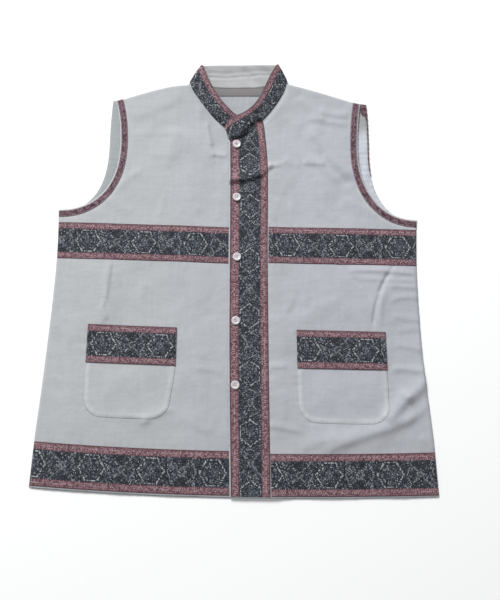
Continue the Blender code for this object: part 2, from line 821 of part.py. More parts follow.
def build_buttons(plastic):
    """Each button lies flat, a gap above the highest point of the tape under it."""
    data = button_mesh()
    data.materials.clear()
    data.materials.append(plastic)
    tape_top = on_front(1, (TAPE,))
    for k, (y, from_edge) in enumerate(BUTTON_PLACES):
        x = placket_edge(y, 1) + from_edge
        under = []
        for reach in (0.0, BUTTON_RADIUS / 2, BUTTON_RADIUS - BUTTON_FOOT):
            for turn in range(BUTTON_SIDES):
                angle = 2.0 * math.pi * turn / BUTTON_SIDES
                spot = (x + reach * math.cos(angle), y + reach * math.sin(angle))
                under.append(lattice_height(tape_top, *spot))
        button = new_object("button_%d" % (k + 1), data)
        button.location = Vector((x, y, max(under))) * MM


def main():
    remove_everything()
    cotton = make_material("cotton", COTTON)
    weave = make_material("tape", TAPE_WEAVE)
    trim = make_material("trim", TRIM_WEAVE)
    plastic = make_material("button", BUTTON_PLASTIC)
    build_back(cotton)
    for side in (-1, 1):
        build_front(side, cotton)
        build_chest_band(side, weave)
        build_hem_band(side, weave)
        build_pocket(side, cotton)
        build_pocket_band(side, weave)
        build_armhole_trim(side, trim)
    build_placket_tape(weave)
    build_neck_tape(trim)
    build_collar(cotton)
    build_collar_tape(weave)
    build_buttons(plastic)


main()
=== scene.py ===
"""Looks of a sleeveless short coat with a band collar, buttoned and laid flat on its back.

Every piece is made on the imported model: outlines and the loft of the fronts are read from its
solids. Sizes are in millimetres and become metres where a mesh is made. +X is to the right as the
garment is seen from above, +Y is towards the collar and +Z is up.
"""
import math
from functools import partialmethod

import bpy
import numpy as np
from mathutils import Matrix, Vector
from mathutils.bvhtree import BVHTree
from mathutils.geometry import delaunay_2d_cdt
from mathutils.kdtree import KDTree


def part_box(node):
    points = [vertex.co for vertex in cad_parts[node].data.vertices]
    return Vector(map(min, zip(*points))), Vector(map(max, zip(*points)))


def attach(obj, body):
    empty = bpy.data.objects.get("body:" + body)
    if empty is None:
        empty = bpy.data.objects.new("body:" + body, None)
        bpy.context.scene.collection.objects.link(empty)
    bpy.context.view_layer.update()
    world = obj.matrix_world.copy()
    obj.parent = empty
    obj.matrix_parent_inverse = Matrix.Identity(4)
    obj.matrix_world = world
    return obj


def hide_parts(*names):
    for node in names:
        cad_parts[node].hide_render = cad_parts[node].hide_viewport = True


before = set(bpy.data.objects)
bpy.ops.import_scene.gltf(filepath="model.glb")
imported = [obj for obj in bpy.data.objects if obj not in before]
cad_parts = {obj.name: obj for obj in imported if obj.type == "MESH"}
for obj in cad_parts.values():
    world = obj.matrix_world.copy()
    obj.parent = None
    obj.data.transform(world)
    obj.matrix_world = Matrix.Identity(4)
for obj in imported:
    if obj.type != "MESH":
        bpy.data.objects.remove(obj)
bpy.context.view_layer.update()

MM = 0.001
SIDES = {-1: "left", 1: "right"}
QUARTERS = ((1, 1), (-1, 1), (-1, -1), (1, -1))

# Underside and top of each layer as it is seen, over the underside of the front that carries it
CLOTH_LAYER = (0.0, 1.15)
TAPE_LAYER = (1.25, 1.85)
POCKET_LAYER = (1.2, 1.85)
POCKET_BAND_LAYER = (2.6, 3.15)

# The same over the table, and over the top of the back
NECK_TAPE_LAYER = (1.35, 2.15)
TURNED_TRIM_LAYER = (0.1, 0.75)

# Thickness of the solids' cloth, and the least room between two layers
CLOTH = 1.2
LAYER_GAP = 0.2
OVERLAP_MARGIN = 4.0  # past the edge of the left front
TOUCH = 0.1

# Mesh cells, and how far in the rounded edge of a layer starts
PANEL_CELL = 2.4
BACK_CELL = 4.0
PLACKET_CELL = 1.7
BAND_CELL = 2.6
TRIM_CELL = 2.0
TURNED_CELL = 1.2
OUTLINE_CELL = 3.0
POCKET_OUTLINE_CELL = 2.5
TRIM_OUTLINE_CELL = 2.0
EDGE_ROUND = 0.7

# Outlines: the least turn of a corner in degrees, how straight a run is, the steps of a curve
# between two points, and the share of a cell that inner points keep from the edge
SHARP_TURN = 32.0
STRAIGHT_WITHIN = 0.03
CURVE_STEPS = 8
CLEAR_SHARE = 0.55

# Raster that holds the relief of each front, and its coarse cells that are read from the solid
RASTER = 1.5
RASTER_HALF = (306.0, 348.0)
COARSE = 4
SOLID_BLUR = 5
ABOVE_ALL = 90.0

# Main creases of the fronts. Each row is a soft ridge, or a trough where its height is negative.
# The two widths are those of the flank on the left and on the right of its direction.
CREASES = (
    # side, x0, y0, x1, y1, bow, height, left width, right width
    (1, -24, 135, 39, 148, -2.5, 5.2, 14, 3.2),
    (1, -24, 129, 42, 142.5, -2.5, -1.2, 3, 6),
    (1, 33, 146, 50, 165, 1, 3, 8, 3),
    (1, 40, 158.5, 62, 163, 0, 1.6, 6, 2),
    (1, 62, 170, 92, 160, 2, 0.9, 7, 5),
    (1, 90, 232, 124, 188, -3, -1.3, 7, 5),
    (1, 118, 194, 170, 130, -4, -2.4, 9, 6.5),
    (1, 104, 228, 176, 140, -7, 2.9, 9, 9),
    (1, 84, 196, 160, 134, -3, 1.1, 8, 6),
    (1, 92, 166, 132, 164, 1, 1.7, 9, 2.6),
    (1, 58, 172, 70, 116, 2, 0.9, 7, 7),
    (1, 76, 150, 84, 84, -2, 0.7, 6, 8),
    (1, 118, 254, 168, 246, -2, 1.9, 8, 4),
    (1, 100, 240, 166, 230, 2, 1.6, 8, 5),
    (1, 84, 276, 128, 232, 4, 1.5, 9, 6),
    (1, 66, 246, 108, 204, 2, 0.7, 9, 7),
    (1, 60, 112, 52, 72, -2, 0.7, 6, 9),
    (1, 150, 112, 214, 82, 3, 1.1, 8, 8),
    (1, 104, 108, 150, 76, -3, 0.8, 9, 7),
    (1, 140, 16, 168, -14, 2, -1.2, 4.5, 3),
    (1, 166, -12, 184, -24, 0, -0.9, 4, 2.8),
    (1, 226, -2, 208, -37, -2, -3.2, 3, 2.4),
    (1, 209, -34, 199, -84, -2, -2.4, 2.8, 2.3),
    (1, 216, -30, 210, -84, -3, 1.3, 4, 4),
    (1, 234, 14, 214, -14, 1, -1.1, 3.5, 3),
    (1, 160, -1, 270, -5, 2, 1.9, 6, 2.8),
    (1, 176, -12, 268, -15, -1, 1, 4, 3),
    (1, 220, -24, 268, -26, 1, 1.3, 5, 3.5),
    (1, 222, -46, 270, -40, 3, 1.4, 6, 4),
    (1, 226, -66, 272, -72, -3, 1.2, 6, 4),
    (1, 232, -92, 276, -86, 2, 1, 6, 5),
    (1, 228, -112, 278, -122, 3, 1.1, 7, 4),
    (1, 158, -42, 88, -82, -5, 1.3, 13, 9),
    (1, 92, -34, 72, -74, 2, -0.9, 7, 5),
    (1, 150, -58, 196, -92, 3, 0.8, 9, 7),
    (1, 52, -70, 72, -130, 3, 0.6, 9, 9),
    (1, 222, -146, 278, -150, 2, 2.5, 6, 5),
    (1, 46, -148, 74, -146, 1, 1.4, 7, 3),
    (1, 280, -154, 240, -192, 3, 4.3, 8.5, 11),
    (1, 252, -176, 212, -222, 2, 4.4, 8, 11),
    (1, 282, -186, 236, -228, 3, 1.6, 6, 8),
    (1, 262, -206, 190, -238, 4, 3.4, 7.5, 10),
    (1, 204, -234, 124, -266, -2, 3.2, 7.5, 12),
    (1, 44, -230, 98, -240, 2, 1.4, 7, 3.2),
    (1, 90, -263, 150, -242, 2, 0.9, 8, 6),
    (1, 64, -176, 70, -222, 2, 0.8, 8, 8),
    (1, 262, -240, 284, -262, 2, 1, 6, 6),
    (-1, -190, 10, -194, -56, 0, 2, 1.9, 8),
    (-1, -195, -52, -199, -62, 0, 1.4, 2, 5),
    (-1, -199, -58, -190, -82, 0, 1.6, 1.9, 7),
    (-1, -202, 6, -203, -60, 1, -0.6, 4, 3),
    (-1, -138, -233, -90, -208, 3, 1.5, 9, 5),
    (-1, -166, -214, -120, -230, 3, 0.9, 8, 6),
    (-1, -55, 236, -38.5, 172, -1.5, 2.1, 3.2, 7),
    (-1, -45, 198, -37.5, 171, -1, -1.6, 3.5, 3),
    (-1, -66, 262, -62, 206, -2, 0.9, 6, 4),
    (-1, -46, 180, -20, 178, -1, 1.5, 5, 2.4),
    (-1, -22, 164, -16, 128, 1, 0.9, 4, 3),
    (-1, -40, 166, -34, 120, 1, -0.8, 5, 3),
    (-1, -176, 238, -84, 284, -5, 1.5, 16, 11),
    (-1, -150, 226, -96, 236, 2, 0.6, 12, 9),
    (-1, -164, 212, -72, 206, 5, 0.8, 12, 8),
    (-1, -140, 176, -90, 175, 2, 0.5, 10, 7),
    (-1, -102, 226, -114, 150, 3, 0.9, 8, 12),
    (-1, -152, 152, -196, 112, -3, 1.1, 8, 6),
    (-1, -210, 112, -160, 82, -3, 0.9, 9, 8),
    (-1, -116, 116, -122, 76, 1, 0.7, 5, 5),
    (-1, -36, 118, -30, 72, 2, 0.8, 8, 6),
    (-1, -84, 130, -58, 84, -3, 0.7, 9, 8),
    (-1, -252, -10, -238, -120, 4, 1, 12, 10),
    (-1, -100, -8, -52, -60, 5, 0.8, 12, 10),
    (-1, -136, -20, -150, -66, -2, 0.7, 9, 9),
    (-1, -244, -180, -226, -250, -3, 1, 10, 9),
    (-1, -60, -118, -44, -196, 3, 0.8, 10, 10),
    (-1, -62, -150, -18, -156, 1, 0.8, 7, 4),
    (-1, -84, -216, -30, -240, -2, 0.9, 9, 6),
)
UNEVEN = (
    # reach in cells, seed, amount on the left, amount on the right
    (9, 11, 0.42, 0.60),
    (3, 16, 0.09, 0.14),
)

# Ripples that sewing draws up beside the tapes and round the pockets
PUCKER = 0.16
PUCKER_LENGTH = 13.0
PUCKER_REACH = 12.0
PUCKER_SWAY = 0.6
PUCKER_SWAY_LENGTH = 31.0
SEWN_CELL = 1.5
SHORTEST_SEWN = 60.0
SHORTEST_PLACKET_SIDE = 300.0

# Seam at the sides and shoulders, where the front turns down over the back
SEAM_DROP = 2.6
BACK_INSET = 2.7
NECK_TUCK = 2.4
NECK_DITCH = 1.7
NECK_DITCH_REACH = 5.0

# Gathers of the back beside its armholes
GATHERS_LEFT = 0.5
GATHERS_RIGHT = 1.5
GATHER_PITCH = 8.4
GATHERS_FROM_X = (168.0, 182.0)
GATHERS_FROM_Y = (70.0, 90.0)

# Soft forms round the edge of a pocket, and where its cloth is doubled
POCKET_RIDGE = (0.35, 5.2, 2.6)  # height, distance from the edge, half width
POCKET_SEWN = (0.2, 2.2, 1.0)
POCKET_EDGE = (0.45, 0.0, 1.6)
POCKET_BELLY = 0.9
POCKET_BELLY_IN = (8.0, 42.0)
POCKET_BELLY_DOWN = 26.0
POCKET_DOUBLED = (0.75, 3.5, 3.6, 4)
POCKET_SEAM_IN = 2.2
POCKET_BAND_REACH = 58.0
ARMHOLE_DOUBLED = (0.6, 0.0, 4.0)
ARMHOLE_DOUBLED_X = (175.0, 179.0)
ARMHOLE_DOUBLED_Y = ((60.0, 66.0), (262.0, 252.0))

# Stitching of the bands
GROOVE_AT = 2.4
GROOVE_HALF = 0.8
GROOVE = (0.3, GROOVE_AT, 0.7)  # depth, distance from the edge, half width
STITCH_PITCH = 3.1
STITCH_LENGTH = 2.2
STITCH_WIDTH = 0.5
STITCH_HEIGHT = 0.32
STITCH_LIFT = 0.05

# Woven tape: its own width and borders, and those of the bands as they lie
TAPE_WIDTH = 56.0
BORDER = 10.0
PLACKET_BORDERS = (12.3, 12.6)
FIGURE_REPEAT = 84.0
FIGURE_AT = {
    # x of the middle of each medallion
    "chest_band_left": (-226, -142, -66),
    "chest_band_right": (73, 152, 238),
    "hem_band_left": (-201, -118, -30),
    "hem_band_right": (49, 133, 220),
    "pocket_band_left": (-194, -112),
    "pocket_band_right": (103, 187),
}
BANDS = (
    # name, layer, what it lies on
    ("chest_band_", TAPE_LAYER, "front_"),
    ("hem_band_", TAPE_LAYER, "front_"),
    ("pocket_band_", POCKET_BAND_LAYER, "pocket_"),
)
FIGURE_PLACKET_Y = 12.0
FIGURE_COLLAR = 20.0

# Placket as it lies: the tape that the cross fold hides, and the end that goes under the collar
TUCK_Y = 136.0
TUCK_HIDES = 17.0
PLACKET_UNDER_COLLAR = 9.0

# Narrow tapes
TRIM_WIDTH = 10.0
TRIM_START = (270.0, 78.0)
NECK_TAPE_START = (-70.0, 290.0)
NECK_TAPE_UNDER = 3.5
BACK_TRIM_OVER = 0.5
BACK_TRIM_BEYOND = 180.0  # x
BACK_TRIM_Y = (100.0, 267.5)
BACK_TRIM = (
    # y, width that shows
    (150, 1.2),
    (162, 1.8),
    (241, 2.0),
    (246, 4.4),
    (249.5, 8.2),
    (253, 10.4),
    (268.6, 10.8),
)

# Collar: the same sections as its solids
CENTRE_LINE = (
    # v, x
    (-330.2, 0.0),
    (-200, -1.6),
    (-120, -3.2),
    (70, -3.1),
    (268, -4.1),
    (300, -6.3),
    (330, -4.5),
)
NECK_TILT = 0.030
NECK_TILT_V = (255.0, 295.0)
NECK_TILT_U = (140.0, 80.0)
COLLAR_HALF = (
    # seam u, seam v, seam z, top u, top v, top z
    (0.0, 291.5, 2.0, 0.0, 328.6, 6.6),
    (30.0, 292.2, 2.0, 24.0, 328.8, 6.6),
    (58.0, 296.0, 2.0, 45.0, 328.6, 6.8),
    (72.0, 299.6, 2.1, 56.0, 328.0, 7.4),
    (75.6, 300.6, 3.7, 59.0, 327.0, 10.4),
    (75.0, 298.2, 5.7, 56.5, 323.5, 13.2),
    (72.2, 288.0, 6.0, 48.0, 304.7, 13.6),
    (66.3, 277.0, 5.8, 40.0, 287.8, 13.8),
    (52.6, 256.8, 5.5, 30.0, 269.3, 13.8),
    (38.0, 240.4, 5.5, 17.5, 254.0, 13.4),
)
COLLAR_END_UNDER = (
    (21.5, 225.0, 5.0, 5.5, 244.0, 9.6),
    (5.0, 209.6, 4.6, -8.0, 237.0, 7.6),
)
COLLAR_END_OVER = (
    (20.0, 227.2, 8.8, 4.0, 243.6, 14.2),
    (5.0, 208.6, 9.4, -9.0, 237.4, 13.8),
    (-9.0, 203.4, 8.6, -18.6, 229.0, 12.4),
    (-14.8, 203.0, 8.0, -22.4, 221.6, 11.2),
)
COLLAR_STEPS = 14
COLLAR_MIDDLE = (len(COLLAR_HALF) + len(COLLAR_END_UNDER) - 1) * COLLAR_STEPS
COLLAR_ROWS = 16
COLLAR_BOW = 0.8
COLLAR_SHORTER = 0.06  # share of the wall's height that the cotton ends above its seam
COLLAR_CLOTH = (-0.7, 0.75)  # inner and outer face, from the middle of the wall
COLLAR_TAPE = (0.95, 1.65)
COLLAR_HEIGHT = 36.5
COLLAR_FIELD_AT = (0.0, 25.0, 36.5)
COLLAR_FIELD_IS = (21.0, 46.0, 56.0)
COLLAR_OVER_TAPE_X = (41.0, 37.0)
COLLAR_OVER_TAPE_Y = (243.0, 238.0)
COLLAR_SHORTENED = (5.0, 6.0)  # sections from the middle of the back
COLLAR_SETTLED = (4.4, 5.4)
COLLAR_SETTLED_UP_TO = 0.16  # shares of the wall's height
COLLAR_SPREADS_BY = 0.09

# Buttons
BUTTON_SIDES = 48
BUTTON_PROFILE = (
    # radius, height
    (5.2, 0.0),
    (6.0, 0.35),
    (6.35, 0.95),
    (6.35, 1.7),
    (6.1, 2.2),
    (5.6, 2.55),
    (5.0, 2.6),
    (4.4, 2.45),
    (3.9, 2.25),
    (3.2, 2.15),
)
BUTTON_TURN = 0.9
BUTTON_LIFT = 0.12
HOLE_RADIUS = 0.62
HOLE_SIDES = 14
HOLE_OUT = 1.275
THREAD_RADIUS = 0.16
THREAD_SIDES = 8
THREAD_BESIDE = (-0.32, 0.0, 0.32)
THREAD_PATH = (
    # share of the way to each hole, height
    (-1.0, 0.4),
    (-1.0, 1.9),
    (-0.6, 2.42),
    (0.0, 2.5),
    (0.6, 2.42),
    (1.0, 1.9),
    (1.0, 0.4),
)

# Colours, as linear RGB
COTTON_LEFT = (0.446, 0.464, 0.478)
COTTON_RIGHT = (0.442, 0.452, 0.494)
COTTON_DOUBLED = (0.535, 0.557, 0.574)
COTTON_INSIDE = (0.350, 0.372, 0.385)
# painted light: the inside of the back lighter towards its right, where its gathers by the armhole catch
# the light
COTTON_INSIDE_LIT = (0.57, 0.595, 0.65)
COTTON_SHADED = (0.295, 0.302, 0.285)
COTTON_NECK = (0.487, 0.497, 0.503)
FIELD_DARK = (0.013, 0.015, 0.020)
FIELD_MIDDLE = (0.078, 0.088, 0.108)
FIELD_LIGHT = (0.47, 0.49, 0.51)
BORDER_PINK = (0.198, 0.108, 0.123)
BORDER_LIGHT = (0.44, 0.31, 0.34)
BORDER_DARK = (0.072, 0.032, 0.042)
TRIM_PINK = (0.178, 0.106, 0.126)
TRIM_DARK = (0.045, 0.018, 0.026)
TRIM_FRINGE = (0.31, 0.245, 0.27)
NECK_TAPE_GREY = (0.235, 0.235, 0.235)
NECK_TAPE_ROSE = (0.255, 0.215, 0.225)
BUTTON_SHELL = (0.60, 0.555, 0.585)
THREAD_WHITE = (0.56, 0.55, 0.56)
THREAD_PINK = (0.22, 0.13, 0.145)
FLOOR_WHITE = (0.96, 0.96, 0.96)

# Weave: threads, pixels of the figure, and how much painted shade darkens the cotton at the hem and the
# neck
COTTON_PITCH = 0.9
TAPE_PITCH = 1.4
TRIM_PITCH = 1.2
TWILL_PITCH = 2.4
TWIST_PITCH = 0.7
FIGURE_CELL = 1.4
TRIM_CELL_ALONG = 2.2
TRIM_CELL_ACROSS = 1.25
END_SHADE = 0.45

# Room, in metres and watts
FLOOR_HALF = 60.0
FLOOR_BELOW = 0.0003
WINDOW_FROM = (-1.5, 2.8, 2.75)
WINDOW_SIZE = 1.4
WINDOW_POWER = 195.0
WORLD_COLOUR = (0.98, 0.99, 1.0)
WORLD_STRENGTH = 0.42

# Camera: the photograph's, worked out from the outline
CAMERA_PLACE = (17.8, -233.8, 970.0)
CAMERA_PITCH = 10.9
CAMERA_ROLL = 1.0
CAMERA_LENS = 40.0
CAMERA_SENSOR = 36.0


# Easing and soft rises


def ease(value, start=0.0, end=1.0):
    """0 up to the start, 1 past the end, and smooth between them."""
    t = np.clip((value - start) / (end - start), 0.0, 1.0)
    return t * t * (3.0 - 2.0 * t)


def hump(value, height, at, width, power=2):
    """Soft rise to a height where a value is met."""
    return height * np.exp(-(((value - at) / width) ** power))


# Lines and outlines


def length_of(points):
    return float(np.linalg.norm(np.diff(points, axis=0), axis=1).sum())


def along_line(points):
    """Distance along a line at each of its points."""
    return np.concatenate([[0.0], np.cumsum(np.linalg.norm(np.diff(points, axis=0), axis=1))])


def spread(points, shares):
    """Points at shares of the length of a line."""
    along = along_line(points)
    along /= along[-1]
    return np.stack([np.interp(shares, along, points[:, axis]) for axis in range(points.shape[1])], 1)


def curve(points, steps):
    """Points on a smooth curve through given points, with even steps between each two."""
    points = np.asarray(points, dtype=float)
    last = len(points) - 1
    out = []
    for k in range(last):
        before, start = points[max(k - 1, 0)], points[k]
        end, after = points[k + 1], points[min(k + 2, last)]
        span = np.linalg.norm(end - start)
        lead_in = (end - before) * span / (np.linalg.norm(start - before) + span)
        lead_out = (after - start) * span / (np.linalg.norm(after - end) + span)
        for t in np.arange(steps) / steps:
            from_start = start * (1 + 2 * t) + lead_in * t
            to_end = end * (3 - 2 * t) - lead_out * (1 - t)
            out.append(from_start * (1 - t) ** 2 + to_end * t * t)
    out.append(points[-1])
    return np.array(out)


def rounded(points, spacing):
    """Even points on a smooth curve through the points of a stretch, its ends kept."""
    if len(points) > 2:
        points = curve(points, CURVE_STEPS)
    count = max(1, round(length_of(points) / spacing))
    return spread(points, np.linspace(0.0, 1.0, count + 1))


def corner_turns(loop):
    """How sharply a closed polygon turns at each point, in degrees."""
    before = loop - np.roll(loop, 1, axis=0)
    after = np.roll(loop, -1, axis=0) - loop
    turn = np.arctan2(after[:, 1], after[:, 0]) - np.arctan2(before[:, 1], before[:, 0])
    return np.abs(np.degrees((turn + math.pi) % (2.0 * math.pi) - math.pi))


def sharp_corners(loop):
    return [k for k, turn in enumerate(corner_turns(loop)) if turn > SHARP_TURN]


def four_corners(loop):
    return sorted(int(k) for k in np.argsort(corner_turns(loop))[-4:])


def split(loop, corners):
    """Stretches of a closed polygon between its corners."""
    parts = []
    for start, end in zip(corners, corners[1:] + corners[:1]):
        if end <= start:
            end += len(loop)
        parts.append(loop[[k % len(loop) for k in range(start, end + 1)]])
    return parts


def fine_loop(loop, spacing):
    """Closed outline with even points, smooth between its corners."""
    return np.concatenate([rounded(part, spacing)[:-1] for part in split(loop, sharp_corners(loop))])


def inward(loop, distance):
    """Closed outline moved inwards."""
    along = np.roll(loop, -1, axis=0) - np.roll(loop, 1, axis=0)
    along /= np.maximum(np.linalg.norm(along, axis=1, keepdims=True), 1e-9)
    return loop + np.stack([-along[:, 1], along[:, 0]], 1) * distance


def nearest(points, line):
    """For each point, the number of the closest point of a line, and its distance."""
    tree = KDTree(len(line))
    for k, (x, y) in enumerate(line):
        tree.insert((x, y, 0.0), k)
    tree.balance()
    found = [tree.find((x, y, 0.0)) for x, y in points]
    return np.array([k for _, k, _ in found]), np.array([away for _, _, away in found])


def distance_to(points, line):
    """Distance of each point from a line with close points."""
    return nearest(points, line)[1]


def top_faces(node):
    """Upward faces of a node as lists of points in mm."""
    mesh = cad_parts[node].data
    points = [vertex.co / MM for vertex in mesh.vertices]
    return [[points[k] for k in face.vertices] for face in mesh.polygons if face.normal.z > 0.5]


def outline(node):
    """Anticlockwise outline of a node's upper side, as corners of a polygon."""
    edges = {}
    for face in top_faces(node):
        keys = [(round(p.x, 2), round(p.y, 2)) for p in face]
        for a, b in zip(keys, keys[1:] + keys[:1]):
            if (b, a) in edges:
                del edges[b, a]
            else:
                edges[a, b] = True
    after = {a: b for a, b in edges if a != b}
    loop = [min(after)]
    while after[loop[-1]] != loop[0]:
        loop.append(after[loop[-1]])
    return straighten(np.array(loop))


def straighten(loop):
    """Drop the points of a closed polygon that lie on a straight run."""
    kept = list(range(len(loop)))
    k = 0
    while k < len(kept) and len(kept) > 4:
        a, b, c = (loop[kept[(k + step) % len(kept)]] for step in (-1, 0, 1))
        along, across = c - a, b - a
        length = max(math.hypot(*along), 1e-6)
        if abs(along[0] * across[1] - along[1] * across[0]) / length < STRAIGHT_WITHIN:
            kept.pop(k)
        else:
            k += 1
    return loop[kept]


loops = {node: outline(node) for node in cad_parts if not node.startswith(("button", "collar"))}


def stretches(front, wanted):
    """Stretches of a front's outline, between its corners, that pass one of some tests."""
    parts = [rounded(part, 1.0) for part in split(front, sharp_corners(front))]
    return [part for want in wanted for part in parts if want(*part[len(part) // 2], length_of(part))]


def is_side(x, y, length):
    return abs(x) > 255.0 and y < 70.0 and length > 200.0


def is_shoulder(x, y, length):
    return y > 270.0 and 90.0 < abs(x) < 190.0


def is_neck(x, y, length):
    return y > 215.0 and abs(x) < 80.0 and length > 60.0


# Relief of the fronts


class Relief:
    """Height of the underside of a front over the table, on an even raster."""

    def __init__(self, node):
        self.x, self.y = (np.arange(-half, half + RASTER, RASTER) for half in RASTER_HALF)
        self.grid_x, self.grid_y = np.meshgrid(self.x, self.y, indexing="ij")
        points = [p for face in top_faces(node) for p in face]
        tree = BVHTree.FromPolygons(points, [range(k, k + 3) for k in range(0, len(points), 3)])
        coarse_x, coarse_y = self.x[::COARSE], self.y[::COARSE]
        coarse = np.zeros((len(coarse_x), len(coarse_y)))
        for i, x in enumerate(coarse_x):
            for j, y in enumerate(coarse_y):
                spot = tree.ray_cast(Vector((x, y, ABOVE_ALL)), Vector((0.0, 0.0, -1.0)))[0]
                if spot is None:
                    spot = tree.find_nearest(Vector((x, y, CLOTH)))[0]
                coarse[i, j] = spot.z - CLOTH
        rows = np.stack([np.interp(self.x, coarse_x, column) for column in coarse.T], 1)
        self.height = blurred(np.stack([np.interp(self.y, coarse_y, row) for row in rows]), SOLID_BLUR)

    def add_crease(self, x0, y0, x1, y1, bow, height, left, right):
        """Add a ridge with a bow to the left of its direction and two unlike flanks."""
        dx, dy = x1 - x0, y1 - y0
        length = math.hypot(dx, dy)
        along = ((self.grid_x - x0) * dx + (self.grid_y - y0) * dy) / length
        across = ((self.grid_y - y0) * dx - (self.grid_x - x0) * dy) / length
        t = np.clip(along / length, 0.0, 1.0)
        across = across - bow * 4.0 * t * (1.0 - t)
        flanks = hump(across, height, 0.0, np.where(across > 0.0, left, right))
        ends = hump(along - t * length, 1.0, 0.0, max(left, right))
        self.height += flanks * ends * ease(4.5 * np.minimum(t, 1.0 - t) + 0.15)

    def add_unevenness(self, amount, reach, seed):
        """Add the soft unevenness of cloth that was smoothed by hand."""
        soft = blurred(np.random.default_rng(seed).standard_normal(self.height.shape), reach)
        self.height += amount * soft / soft.std()

    def near(self, line, reach):
        """Cells beside a line, with the number and the distance of the line's closest point."""
        cells = np.ones(self.height.shape, dtype=bool)
        for grid, places in ((self.grid_x, line[:, 0]), (self.grid_y, line[:, 1])):
            cells &= np.abs(grid - np.clip(grid, places.min(), places.max())) < reach
        return cells, *nearest(np.stack([self.grid_x[cells], self.grid_y[cells]], 1), line)

    def lower(self, line, reach, depth=None, floor=None):
        """Draw the cloth down along a line, by a depth or to a floor."""
        cells, _, away = self.near(line, reach)
        change = floor - self.height[cells] if depth is None else -depth
        self.height[cells] += change * ease(away, reach, 0.0)

    def add_puckers(self, line, phase):
        """Add ripples across a sewn line that die out away from it."""
        cells, number, away = self.near(line, PUCKER_REACH)
        along = along_line(line)[number]
        turns = along / PUCKER_LENGTH + PUCKER_SWAY * np.sin(along / PUCKER_SWAY_LENGTH + phase)
        self.height[cells] += PUCKER * np.sin(2.0 * math.pi * turns + phase) * ease(away, PUCKER_REACH, 0.0)

    def at(self, points):
        """Heights at points, with the raster read between its nodes."""
        i = np.clip((points[:, 0] - self.x[0]) / RASTER, 0, len(self.x) - 1.001)
        j = np.clip((points[:, 1] - self.y[0]) / RASTER, 0, len(self.y) - 1.001)
        i0, j0 = i.astype(int), j.astype(int)
        s, t = i - i0, j - j0
        low = self.height[i0, j0] * (1 - s) + self.height[i0 + 1, j0] * s
        high = self.height[i0, j0 + 1] * (1 - s) + self.height[i0 + 1, j0 + 1] * s
        return low * (1 - t) + high * t


def blurred(field, reach):
    """Field after three even blurs, which come close to a soft round one."""
    size = 2 * reach + 1
    for axis in (0, 1) * 3:
        pad = [(0, 0), (0, 0)]
        pad[axis] = (reach + 1, reach)
        total = np.cumsum(np.pad(field, pad, mode="edge"), axis=axis)
        high = np.take(total, range(size, total.shape[axis]), axis=axis)
        low = np.take(total, range(total.shape[axis] - size), axis=axis)
        field = (high - low) / size
    return field


def make_relief(side):
    """Relief of a front with its creases, clear of what lies beneath it."""
    name = SIDES[side]
    front = loops["front_" + name]
    relief = Relief("front_" + name)
    for row in CREASES:
        if row[0] == side:
            relief.add_crease(*row[1:])
    for reach, seed, *amounts in UNEVEN:
        relief.add_unevenness(amounts[side > 0], reach, seed + side)
    for k, node in enumerate(("chest_band_", "hem_band_", "pocket_")):
        sewn = loops[node + name]
        for part in split(sewn, sharp_corners(sewn)):
            line = rounded(part, SEWN_CELL)
            if length_of(line) > SHORTEST_SEWN:
                relief.add_puckers(line, 1.3 * k + side)
    if side > 0:
        sewn = loops["placket_tape"]
        for part in split(sewn, four_corners(sewn)):
            if length_of(part) > SHORTEST_PLACKET_SIDE:
                relief.add_puckers(rounded(part, SEWN_CELL), 0.4)
    for part in stretches(front, [is_neck]):
        relief.lower(part, NECK_DITCH_REACH, depth=NECK_DITCH)
    relief.height = np.maximum(relief.height, CLOTH + LAYER_GAP)
    if side > 0:
        below = RELIEF[-1].height + CLOTH_LAYER[1] + LAYER_GAP
        near = relief.grid_x < loops["front_left"][:, 0].max() + OVERLAP_MARGIN
        relief.height = np.where(near, np.maximum(relief.height, below), relief.height)
    for part in stretches(front, [is_side, is_shoulder]):
        relief.lower(part, SEAM_DROP, floor=TOUCH)
    return relief


RELIEF = {-1: make_relief(-1)}
RELIEF[1] = make_relief(1)


def layer(side, lifts):
    """Heights of the two faces of a layer on a front."""
    return [lambda points, lift=lift: RELIEF[side].at(points) + lift for lift in lifts]


# Meshes


def link(name, data):
    """New object in the scene."""
    item = bpy.data.objects.new(name, data)
    bpy.context.scene.collection.objects.link(item)
    return item


def add_object(name, points, faces, material, node, uv=None):
    """New piece from points in mm. It rides on the garment's one body."""
    mesh = bpy.data.meshes.new(name)
    mesh.from_pydata((np.asarray(points) * MM).tolist(), [], faces)
    mesh.materials.append(material)
    if uv is not None:
        corners = np.zeros(len(mesh.loops), dtype=int)
        mesh.loops.foreach_get("vertex_index", corners)
        mesh.uv_layers.new(name="Weave").data.foreach_set("uv", (uv[corners] * MM).ravel())
    mesh.shade_smooth()
    piece = link(name, mesh)
    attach(piece, "root")
    if node is not None:
        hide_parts(node)
    return piece


def shell(top, low, faces, ring):
    """Closed shell of two layers that meet halfway along the ring of edge points."""
    top[ring] = (top[ring] + low[ring]) / 2.0
    inner = np.ones(len(top), dtype=bool)
    inner[ring] = False
    index = np.arange(len(top))
    index[inner] = len(top) + np.arange(inner.sum())
    below = [tuple(int(index[k]) for k in reversed(face)) for face in faces]
    source = np.concatenate([np.arange(len(top)), np.flatnonzero(inner)])
    return np.concatenate([top, low[inner]]), faces + below, source


def grid_shell(top, low, turned=False):
    """Closed shell between two layers of points that lie in rows and columns."""
    index = np.arange(top.shape[0] * top.shape[1]).reshape(top.shape[:2])
    corners = [index[:-1, :-1], index[1:, :-1], index[1:, 1:], index[:-1, 1:]]
    if turned:
        corners[1], corners[3] = corners[3], corners[1]
    faces = np.stack(corners, 2).reshape(-1, 4).tolist()
    ring = np.unique(np.concatenate([index[0], index[-1], index[:, 0], index[:, -1]]))
    return shell(top.reshape(-1, 3).copy(), low.reshape(-1, 3), faces, ring)


